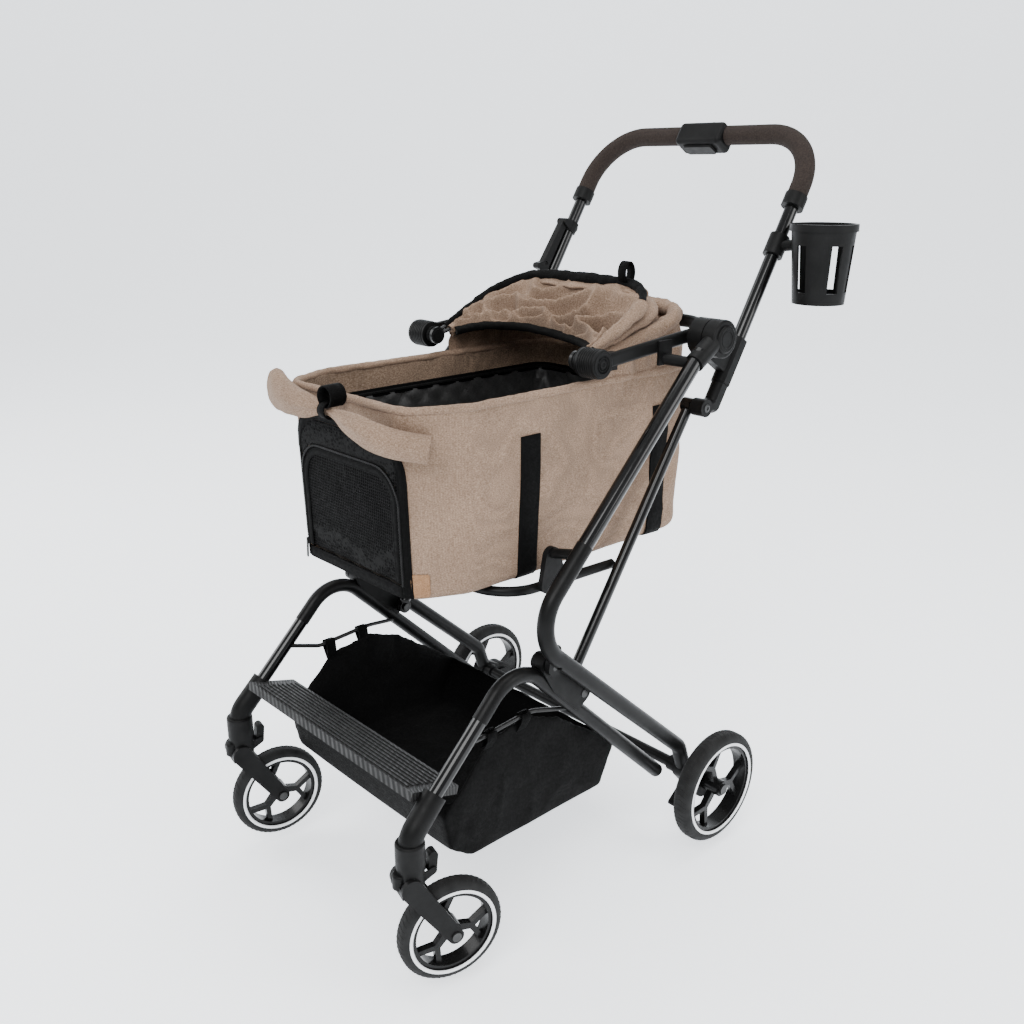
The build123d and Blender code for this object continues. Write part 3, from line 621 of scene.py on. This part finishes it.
floor_verts, centre = [], Vector((0, 75, BAG_FLOOR))
for share in (1.0, 0.86, 0.62, 0.34, 0.02):
    for p, n in bag_ring(BAG_FLOOR, -12.5):
        q = centre + (p - centre) * share
        floor_verts.append((q - Vector((0, 0, 1.6 * (1 - share) + 0.8 * lumps(q, 45)))) * MM)
bag_floor = piece("carrier_floor", floor_verts, quads(5, RING, wrap_columns=True), BLACK_CLOTH, "chassis")
thicken(bag_floor, 2.0)


def quilt(p, n):
    """Diamond quilting of the lining."""
    along = (p.y * abs(n.x) + p.x * abs(n.y)) * 0.5
    u, v = (along + p.z * 0.5) / 21, (along - p.z * 0.5) / 21
    puff = abs(math.sin(math.pi * u)) * abs(math.sin(math.pi * v))
    return -5.0 * math.sqrt(puff) + 1.2 * lumps(p, 30, 3)


lining_heights = steps(LINING_LOW, LINING_HIGH, 40) + [LINING_HIGH]
lining = bag_wall("quilted_lining", lining_heights, -6.0, LINING, quilt, True, 1.2)
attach(lining, "chassis")
facing = bag_wall("rim_facing", steps(706, 743, 7) + [743], -4.0, BEIGE_DARK,
                  lambda p, n: bag_push(p, n) * 0.7 - 0.8 + 1.2 * lumps(p, 26, 8), False, 1.4)
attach(facing, "chassis")


def ring_path(z, grow, relief):
    return [(p + n * relief(p, n)) * MM for p, n in bag_ring(z, grow)], [n for p, n in bag_ring(z, grow)]


hem_path, _ = ring_path(744.5, -1.5, lambda p, n: bag_push(p, n) * 0.8)
hem_path = smooth_path(hem_path[::3], 5.0, closed=True)[:-1]
sleeve("rim_hem", hem_path, 5.6, BEIGE, "chassis", 12, 0.9, closed=True)
zip_path, zip_normals = ring_path(704.5, -9.0, lambda p, n: 0.0)
band("inner_zip_tape", zip_path, [-n for n in zip_normals], 13, 1.4, WEBBING, "chassis", "black_fabric",
     closed=True, stitch=0.5)
band("inner_zip_teeth", zip_path, [-n for n in zip_normals], 4.2, 2.6, SOFT_PLASTIC, "chassis",
     "soft_plastic", closed=True, ridge=0.9)


# ---- cloth on the bag's outside ----
def front_point(x, z, off):
    """Point (mm) on the bag's front wall at (x, z), off mm outside it, and its normal."""
    t = (z - BAG_FLOOR) / (BAG_RIM - BAG_FLOOR)
    path = plan_half(t, 0.0)
    k = next(i for i, p in enumerate(path) if p.x > abs(x))
    a, b = path[k - 1], path[k]
    p = a.lerp(b, (abs(x) - a.x) / (b.x - a.x))
    run = (b - a).normalized()
    n = Vector((run.y * (1 if x >= 0 else -1), -run.x, 0))
    return Vector((p.x if x >= 0 else -p.x, p.y, z)) + n * off, n


def door_outline(margin, low, step=5.0, top=DOOR_HIGH):
    """The door's outline grown by margin, open at its lower edge, from left to right."""
    half, top, r = DOOR_HALF + margin, top + margin, DOOR_ROUND + margin
    flat = rounded([(-half, low), (-half, top), (half, top), (half, low)], [r, r])
    return spaced([Vector((p.x, p.y, 0)) * MM for p in flat], step)


def on_front(path, off, follow=0.0):
    points, normals = [], []
    for q in path:
        p, n = front_point(q.x / MM, q.y / MM, off)
        p += n * max(0.0, bag_push(p, n)) * follow
        points.append(p * MM)
        normals.append(n)
    return points, normals


rim_points, rim_normals = on_front(door_outline(6.0, 497, top=PANEL_TOP), 1.0, 1.0)
band("door_surround_tape", rim_points, rim_normals, 14, 1.6, WEBBING, "chassis", "black_fabric", stitch=0.5)
sill = [Vector((x, SILL_Z, 0)) * MM for x in range(-112, 113, 7)]
sill_points, sill_normals = on_front(sill, 0.6)
band("door_sill_tape", sill_points, sill_normals, 16, 1.6, WEBBING, "chassis", "black_fabric", stitch=0.5)
teeth_points, teeth_normals = on_front(door_outline(0.2, 512, 2.0), 1.6)
band("door_zip_teeth", teeth_points, teeth_normals, 4.0, 1.8, SOFT_PLASTIC, "chassis", "soft_plastic",
     ridge=0.8)

panel_x, panel_z = steps(-113, 117, 46), steps(600, PANEL_TOP + 3, 24)
panel_verts, _ = on_front([Vector((x, z, 0)) * MM for z in panel_z for x in panel_x], 1.9, 1.0)


def on_panel(i, j):
    x, z = panel_x[j] + 2.5, panel_z[i] + 2.2
    corner = math.hypot(max(0, abs(x) - 70), max(0, z - (PANEL_TOP - 42)))
    return not in_door(x, z, 2.0) and corner < 46 and abs(x) < 115


panel = piece("door_top_panel", panel_verts, quads(24, 46, keep=on_panel), MESH, "chassis")
thicken(panel, 0.9)

door_verts = []
DOOR_NU, DOOR_NV = 41, 33
for i in range(DOOR_NV):
    z = DOOR_LOW + 1 + (DOOR_HIGH - DOOR_LOW - 3) * i / (DOOR_NV - 1)
    over = max(0.0, z - (DOOR_HIGH - DOOR_ROUND))
    half = DOOR_HALF - 3 - DOOR_ROUND + math.sqrt(max(4.0, DOOR_ROUND ** 2 - over ** 2))
    for j in range(DOOR_NU):
        x = half * (2 * j / (DOOR_NU - 1) - 1)
        billow = 1.6 * (1 - (x / half) ** 2) * math.sin(math.pi * i / (DOOR_NV - 1))
        p, n = front_point(x, z, 0.4)
        door_verts.append((p + n * (billow + 0.9 * lumps(p, 42, 5))) * MM)
door = piece("door_mesh", door_verts, quads(DOOR_NV, DOOR_NU), MESH, "door")
thicken(door, 1.0)
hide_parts("mesh_door")
tape_points, tape_normals = on_front(door_outline(-8.0, DOOR_LOW + 1), 1.2)
band("door_edge_tape", tape_points, tape_normals, 11, 1.3, WEBBING, "door", "black_fabric", stitch=0.4)

p, n = front_point(-112.0, 521, 3.4)
pull = [(p + Vector((-0.4, -0.1 * i, -i * 2.8))) * MM for i in range(11)]
band("zip_pull", pull, [n] * 11, 6.0, 2.0, SOFT_PLASTIC, "chassis", "soft_plastic")


def side_point(side, y, z, off):
    """Point (mm) on the bag's straight side wall, off mm outside the cloth."""
    t = (z - BAG_FLOOR) / (BAG_RIM - BAG_FLOOR)
    p = Vector((side * (156 + 6 * t), y, z))
    n = Vector((side, 0, 0))
    return p + n * (bag_push(p, n) + off), n


for side, word in ((1, "right"), (-1, "left")):
    for place, y, top in (("front", -12.0, 694), ("rear", 250.0, 696)):
        points, normals = [], []
        for i in range(34):
            z = top - (top - STRAP_LOW) * i / 33
            p, n = side_point(side, y + 0.8 * lumps((0, y, z), 40), max(z, 505.0), 1.1)
            p.z = z
            drop = max(0.0, 505 - z)
            points.append((p - n * (drop * drop * 0.045)) * MM)
            normals.append(n)
        for i in range(1, 8):
            points.append(mm(side * (142 - i * 9), y, 489.0))
            normals.append(Vector((0, 0, -1)))
        band(f"strap_{place}_{word}", points, normals, 35, 1.8, WEBBING, "chassis", "black_fabric",
             stitch=0.5)

patch_verts = []
for i in range(8):
    z = 497 + PATCH_HIGH * i / 7
    ring = bag_ring(z)
    for j in range(5):
        p, n = ring[DOOR_COLUMNS + 1 + j]
        patch_verts.append((p + n * (bag_push(p, n) + 1.8)) * MM)
patch = piece("plain_patch", patch_verts, quads(8, 5), PATCH, "chassis")
thicken(patch, 1.2)

# ---- rolled front flap and its loop ----
ROLL_TURN = 44


def roll_radius(x):
    pinch = 1 - 0.70 * math.exp(-((x - 4) / 42.0) ** 2)
    return (16.5 + 4.5 * abs(x) / 138) * pinch * (1.12 if x < 0 else 1.0)


ROLL_LINE = ((-150, -198, 738), (-108, -208, 733), (-50, -212, 730), (0, -213, 730),
             (48, -214, 725), (92, -212, 716), (126, -198, 707), (150, -168, 700))
roll_line = smooth_path([mm(*p) for p in ROLL_LINE], 5)
ROLL_COLUMNS = len(roll_line)
roll_verts = []
for p, t in zip(roll_line, tangents(roll_line)):
    q = p / MM
    side = t.cross(Vector((0, 0, 1))).normalized()
    lift = side.cross(t)
    paddle = ease(-q.x, 70, 150)
    for k in range(ROLL_TURN):
        s = k / (ROLL_TURN - 1)
        a = math.radians(-70 + 640 * s)
        r = roll_radius(q.x) * (1 - 0.60 * s)
        fold = 0.26 * math.exp(-(q.x / 70.0) ** 2) * math.sin(5 * a + 0.8)
        fold += 0.14 * lumps((q.x, 60 * a, 0), 30, 2)
        r *= 1 + fold
        out = side * math.cos(a) * (1 - 0.35 * paddle) + lift * math.sin(a) * (0.92 + 0.35 * paddle)
        roll_verts.append((q + out * r + t * 1.2 * lumps((0, 40 * a, 0), 20)) * MM)
roll = piece("rolled_flap", roll_verts, quads(ROLL_COLUMNS, ROLL_TURN), BEIGE, "chassis")
thicken(roll, 1.3)
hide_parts("front_roll")


def loop(name, centre, radii, tilt, width, body):
    """Closed loop of webbing; radii in mm, standing in the XZ plane turned about Z by tilt degrees."""
    points, normals = [], []
    turn = Matrix.Rotation(math.radians(tilt), 3, "Z")
    for i in range(40):
        a = 2 * math.pi * i / 40
        out = turn @ Vector((math.cos(a), 0, math.sin(a)))
        points.append(Vector(centre) * MM + turn @ mm(radii[0] * math.cos(a), 0, radii[1] * math.sin(a)))
        normals.append(out)
    return band(name, points, normals, width, 1.9, WEBBING, body, "black_fabric", closed=True, stitch=0.4)


loop("flap_loop", (3, -208, 749), (12.5, 13), 6, 26, "chassis")
tie, tie_normals = [], []
for i in range(26):
    a = math.radians(95 + 250 * i / 25)
    tie.append(mm(1, -213 + 11.5 * math.cos(a), 731 + 10.5 * math.sin(a)))
    tie_normals.append(Vector((0, math.cos(a), math.sin(a))))
band("flap_tie", tie, tie_normals, 15, 1.8, WEBBING, "chassis", "black_fabric", stitch=0.4)


# ---- canopy, folded back over the rear half ----
def bow_path(angle, reach, half, corner, root=26.0, step=4.0):
    """Bow's line from the right root, over the tip, to the left root (metres)."""
    a = math.radians(angle)
    flat = rounded([(half, root), (half, reach), (-half, reach), (-half, root)], [corner, corner], 14)
    points = [mm(q.x, HUB[0] + q.y * math.cos(a), HUB[1] + q.y * math.sin(a)) for q in flat]
    return spaced(points, step)


def resample(path, count):
    total = sum((b - a).length for a, b in zip(path, path[1:]))
    return spaced(path, total / MM / (count - 1))[:count]


HOOD_U, HOOD_V = 121, 37
hood_verts = []
for i in range(HOOD_V):
    v = i / (HOOD_V - 1)
    angle, reach, half = 4 + 21.5 * v, 236 - 40 * v, 147 + 8 * v
    row = resample(bow_path(angle, reach, half, half * (0.55 - 0.13 * v)), HOOD_U)
    for j, p in enumerate(row):
        u = j / (HOOD_U - 1)
        q = p / MM
        mid = math.sin(math.pi * u)
        inward = Vector((-q.x * 0.6, HUB[0] + 40 - q.y, -18)).normalized()
        depth = (7 + 20 * mid) * math.sin(math.pi * 3 * v) ** 2
        depth += 6 * mid * creases((q.x, q.y, v * 160), 46, 3.3) + 3.5 * lumps((q.x, q.y, v * 90), 30, 1.1)
        hood_verts.append((q + inward * depth) * MM)
hood = piece("canopy_hood", hood_verts, quads(HOOD_V, HOOD_U), BEIGE, None)
thicken(hood, 1.2)
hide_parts("canopy_fabric")


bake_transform(hood)

front_line = bow_path(*BOW_FRONT, BOW_FRONT[2] * BOW_CORNER)
middle_line = bow_path(*BOW_MIDDLE, BOW_MIDDLE[2] * BOW_CORNER)
share = len(front_line) // 6
sleeve("bow_front_sleeve", front_line[share:], lambda s: 5.2 + 2.6 * math.sin(math.pi * s), BLACK_CLOTH,
       "bow_front", 14, 2.0, squash=1.15)
sleeve("bow_front_cuff", front_line[:share + 6], lambda s: 6.5 + 5.0 * s, BEIGE, "bow_front",
       16, 2.6)
sleeve("bow_middle_sleeve", middle_line, lambda s: 6.0 + 3.0 * math.sin(math.pi * s), BEIGE, "bow_middle",
       14, 2.2)

hem_line = smooth_path([mm(*p) for p in ((140, 116, 777), (122, 152, 775), (66, 188, 779), (0, 200, 784),
                                         (-66, 192, 789), (-122, 158, 789), (-140, 116, 783))], 4)
VISOR_U, VISOR_V = 121, 37
top_row, low_row = resample(front_line, VISOR_U), resample(hem_line, VISOR_U)
visor_verts = []
for i in range(VISOR_V):
    v = i / (VISOR_V - 1)
    for j in range(VISOR_U):
        u = j / (VISOR_U - 1)
        q = top_row[j].lerp(low_row[j], v) / MM
        free = math.sin(math.pi * v)
        mid = math.sin(math.pi * u)
        pleat = 7 * (1 - mid) * free * math.sin(math.pi * 5 * v + 1.5 * u)
        sag = Vector((0, -10, -30)) * free * mid + Vector((0, -0.4, 1)) * pleat
        ridge = 34 * free * creases((q.x * 0.8 + 90 * v, q.y * 0.5, q.z * 1.6), 44, 2.4) * (0.35 + mid)
        ripple = 9.0 * free * lumps((q.x * 0.7 + q.y * 0.7, q.y, q.z), 22, 5.5)
        visor_verts.append((q + sag + Vector((0, -0.45, 0.9)) * (ridge + ripple)) * MM)
visor = piece("canopy_visor", visor_verts, quads(VISOR_V, VISOR_U), BEIGE, "bow_front")
thicken(visor, 1.2)
sleeve("visor_hem", hem_line, 8.0, BLACK_CLOTH, "bow_front", 12, 1.4, squash=0.8)
loop("canopy_loop", (82, 260, 878), (8.5, 15), 84, 17, "bow_front")

REAR_HALF = ((152, 118, 779), (153, 160, 784), (152, 236, 800),
             (147, 290, 814), (118, 326, 822), (60, 335, 826))
rear_points = [*REAR_HALF, (0, 336, 827), *((-x, y, z) for x, y, z in reversed(REAR_HALF))]
rear_line = smooth_path([mm(*p) for p in rear_points], 5)
sleeve("canopy_rear_roll", rear_line, lambda s: 6.0 + 5.2 * min(1.0, 7 * s, 7 * (1 - s)), BEIGE, "chassis",
       18, 2.2)

CURTAIN_U, CURTAIN_V = 121, 12
rim_ring = [p for p, n in bag_ring(746, 0)]
rim_right = [p for p in rim_ring[:RING // 2 + 1] if p.y > 116]
rim_left = [Vector((-p.x, p.y, p.z)) for p in reversed(rim_right)]
rim_row = resample([p * MM for p in rim_right + rim_left], CURTAIN_U)
top_row = resample(rear_line, CURTAIN_U)
curtain_verts = []
for i in range(CURTAIN_V):
    v = i / (CURTAIN_V - 1)
    for j in range(CURTAIN_U):
        q = rim_row[j].lerp(top_row[j], v) / MM
        out = Vector((q.x, (q.y - 150) * 0.8, 0)).normalized()
        swell = 4 + 3.5 * math.sin(j * 0.9 + 3 * lumps(q, 60)) + 2 * lumps(q, 20, 9)
        bulge = math.sin(math.pi * v) * swell
        curtain_verts.append((q + out * bulge) * MM)
curtain = piece("canopy_skirt", curtain_verts, quads(CURTAIN_V, CURTAIN_U), BEIGE, "chassis")
thicken(curtain, 1.2)


# ---- pieces made from CAD solids ----
def copy_of(node, name, material, body):
    source = frame["nodes"][node]
    mesh = source.data.copy()
    mesh.transform(source.matrix_world)
    mesh.materials.clear()
    mesh.materials.append(material)
    obj = bpy.data.objects.new(name, mesh)
    bpy.context.collection.objects.link(obj)
    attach(obj, body)
    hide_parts(node)
    return obj


basket = copy_of("basket", "basket_cloth", BLACK_CLOTH, "front_frame")
settle(basket, ("REMESH", {"mode": "VOXEL", "voxel_size": 0.004}),
       ("SMOOTH", {"factor": 0.6, "iterations": 9}))
low_corner, high_corner = (Vector(c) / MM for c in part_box("basket"))
middle = (low_corner + high_corner) / 2
for vertex in basket.data.vertices:
    p = vertex.co / MM
    t = (p.z - low_corner.z) / (high_corner.z - low_corner.z)
    belly = math.sin(math.pi * min(1, max(0, t))) * 4.0
    out = Vector(((p.x - middle.x) / 190, (p.y - middle.y) / 300, 0))
    fold = 3.2 * lumps(p, 62, 3) + 1.8 * lumps(p, 26, 5) + 2.2 * creases((p.x, p.y, p.z * 0.5), 55, 1.2)
    sag = -3.0 * math.cos(math.pi * (p.x - middle.x) / 380) * (1 - t)
    vertex.co = (p + out * (belly + fold * 0.8) + Vector((0, 0, sag * (1 - t) + 0.6 * fold * (1 - t)))) * MM

PUFF_STEPS, PUFF_LIMIT = 20, 0.007  # frames; metres that a point may move
cushion = copy_of("floor_cushion", "floor_cushion_pad", LINING, "chassis")
settle(cushion, ("REMESH", {"mode": "VOXEL", "voxel_size": 0.006}))
centre = sum((v.co for v in cushion.data.vertices), Vector()) / len(cushion.data.vertices)
shrink = Matrix.Diagonal((0.965, 0.965, 0.6, 1))
cushion.data.transform(Matrix.Translation(centre) @ shrink @ Matrix.Translation(-centre))
start = [v.co.copy() for v in cushion.data.vertices]
cloth = cushion.modifiers.new("cloth", "CLOTH")
cloth.settings.use_pressure = True
cloth.settings.uniform_pressure_force = 4.0
cloth.settings.effector_weights.gravity = 0.0
cloth.point_cache.frame_start, cloth.point_cache.frame_end = 1, PUFF_STEPS
for step in range(1, PUFF_STEPS + 1):
    bpy.context.scene.frame_set(step)
settle(cushion)
bpy.context.scene.frame_set(1)
for vertex, before in zip(cushion.data.vertices, start):
    move = vertex.co - before
    if move.length > PUFF_LIMIT:
        vertex.co = before + move.normalized() * PUFF_LIMIT
settle(cushion, SUBDIVIDE)
cushion_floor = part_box("floor_cushion")[0][2]
for vertex in cushion.data.vertices:
    p = vertex.co / MM
    if p.z > 512:
        vertex.co.z += quilt(Vector((0, p.y, p.x)), Vector((1, 0, 0))) * 0.7 * MM
    vertex.co.z = max(vertex.co.z, cushion_floor)


# ---- basket trims ----
for side, word in ((1, "right"), (-1, "left")):
    for k, y in enumerate((-112.0, -50.0)):
        x = side * 194.0
        z = 305.5 if k == 0 else 310.0
        strap = smooth_path([mm(x - side * 6, y, z - 26), mm(x + side * 4.2, y, z - 8),
                             mm(x + side * 4.6, y, z + 2), mm(x, y, z + 5.2),
                             mm(x - side * 4.8, y, z + 1), mm(x - side * 8, y, z - 22)], 2.5)
        out = []
        for i in range(len(strap)):
            facing_out = 1 if i < len(strap) / 2 else -1
            out.append(Vector((side * facing_out, 0, 0.3)).normalized())
        band(f"basket_clip_{word}_{k}", strap, out, 17, 1.5, WEBBING, "front_frame", "black_fabric",
             stitch=0.4)

# ---- wheels ----
WHEELS = {"front": (73.0, 27.0, 58.0), "rear": (90.0, 30.0, 72.0)}  # tyre radius, width, rim radius, mm
for place, (radius, width, rim) in WHEELS.items():
    for side in ("right", "left"):
        body = f"{place}_wheel_{side}"
        spin = joints[f"{place}_wheel_spin_{side}"]
        axis = Vector(spin["axis"]).normalized()
        low_c, high_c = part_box(f"{place}_tyre_{side}")
        hub = (Vector(low_c) + Vector(high_c)) / 2
        face = width / 2
        for sign, word in ((1, "outer"), (-1, "inner")):
            ring = [(rim - 0.6, face - 0.6), (rim + 0.2, face + 0.5), (rim + 1.6, face + 0.8),
                    (rim + 3.4, face + 0.7), (rim + 4.2, face + 0.1), (rim + 4.2, face - 0.6)]
            lathe(f"reflector_{place}_{side}_{word}", ring, hub, axis * sign, REFLECT, body,
                  96)
            disc = stepped_disc([(2.5, 5.5, 0.9), (7.5, 11.6, 1.4)], face - 1)
            if place == "rear":
                disc = stepped_disc([(8.6, 11.9, 1.6)], face - 1)
                disc[0] = (8.2, face - 1)
                disc[-1] = (8.2, face - 2)
            lathe(f"hub_rings_{place}_{side}_{word}", disc, hub, axis * sign, RIM, body)
        fillet = width * 0.36
        across = [face * f for f in (-0.78, -0.6, -0.42, -0.2, 0.0, 0.2, 0.42, 0.6, 0.78)]
        side_dir = axis.orthogonal().normalized()
        lift_dir = axis.cross(side_dir)
        verts, faces = [], []
        count = 56 if place == "front" else 68
        for k in range(count):
            base = len(verts)
            for x in across:
                over = max(0.0, abs(x) - (face - fillet))
                r = radius - fillet + math.sqrt(fillet ** 2 - over ** 2)
                a0 = 2 * math.pi * k / count + abs(x) / face * 0.07
                for da, dr in ((-0.016, -0.7), (-0.010, 0.45), (0.010, 0.45), (0.016, -0.7)):
                    out = side_dir * math.cos(a0 + da) + lift_dir * math.sin(a0 + da)
                    verts.append(hub + (out * (r + dr) + axis * x) * MM)
            for i in range(len(across) - 1):
                a, b = base + 4 * i, base + 4 * (i + 1)
                faces += [(a + m, a + (m + 1) % 4, b + (m + 1) % 4, b + m) for m in range(4)]
            faces.append((base + 3, base + 2, base + 1, base))
            end = base + 4 * (len(across) - 1)
            faces.append((end, end + 1, end + 2, end + 3))
        piece(f"tread_{place}_{side}", verts, faces, RUBBER, body, smooth=False)

# ---- hubs, caps and screws ----
for side, word in ((1, "right"), (-1, "left")):
    out = Vector((side, 0, 0))
    lathe(f"canopy_hub_face_{word}", stepped_disc([(3.2, 6.0, 0.7), (8.2, 9.6, 0.7), (11.8, 17.0, 0.9)]),
          mm(side * HUB_FACE_X, *HUB), out, MOULDED, "chassis")
    grip = [(19.3, -34.0), (19.9, -33.4)]
    for k in range(7):
        grip += [(20.3, -31.5 + 4 * k), (20.3, -29.6 + 4 * k), (19.6, -29.0 + 4 * k), (19.6, -28.0 + 4 * k)]
    grip += [(19.3, -3.0)]
    lathe(f"canopy_hub_ribs_{word}", grip, mm(side * HUB_FACE_X, *HUB), out, MOULDED, "chassis",
          64)
    lathe(f"fold_cap_ring_{word}", stepped_disc([(11.0, 12.4, 0.8), (15.0, 16.8, 0.6)]),
          mm(side * FOLD_CAP_X, *FOLD), out, MOULDED, "chassis")
    screw(f"elbow_screw_{word}", mm(side * 226.3, 280, 695), out, 6.0, "handle")


# ---- floor, backdrop, light ----
def backdrop():
    f = Finish("studio_paper")
    f.colour(f.ramp(f.noise(900, 2), [(0.3, (0.88, 0.90, 0.92)), (0.7, (0.90, 0.92, 0.94))]))
    f.rough(f.noise(600, 2), 0.85, 0.95)
    f.set(Emission_Color=(0.93, 0.96, 1.0, 1), Emission_Strength=1.15)
    return f.material


sweep = [(-7.0, 0.0), (3.0, 0.0), (5.0, 0.25), (6.5, 1.2), (7.2, 2.8), (7.5, 6.0)]
sweep = smooth_path([Vector((0, a, b)) for a, b in sweep], 220)
turn = Matrix.Rotation(math.radians(47.4), 3, "Z")
floor_points = [turn @ (p + Vector((x, 0, 0))) for p in sweep for x in (-9.0, -3.0, 3.0, 9.0)]
backdrop_piece = piece("studio_sweep", floor_points, quads(len(sweep), 4), backdrop())


def area_light(name, place, target, size, power):
    data = bpy.data.lights.new(name, "AREA")
    data.shape = "RECTANGLE"
    data.size, data.size_y = size
    data.energy = power
    lamp = bpy.data.objects.new(name, data)
    lamp.location = place
    lamp.rotation_euler = (Vector(target) - Vector(place)).to_track_quat("-Z", "Y").to_euler()
    bpy.context.collection.objects.link(lamp)


area_light("key_soft", (1.6, -2.6, 3.2), (0, 0, 0.5), (2.6, 2.0), 150)
area_light("side_soft", (3.2, 1.4, 2.0), (0, 0, 0.6), (1.6, 2.4), 70)
area_light("left_soft", (-3.0, -1.4, 2.2), (0, 0, 0.5), (1.8, 2.4), 75)
area_light("top_soft", (0, 0.4, 4.2), (0, 0, 0), (3.2, 3.2), 130)
world = bpy.data.worlds.new("studio")
world.use_nodes = True
world.node_tree.nodes["Background"].inputs["Color"].default_value = (0.90, 0.93, 0.96, 1)
world.node_tree.nodes["Background"].inputs["Strength"].default_value = 0.65
bpy.context.scene.world = world
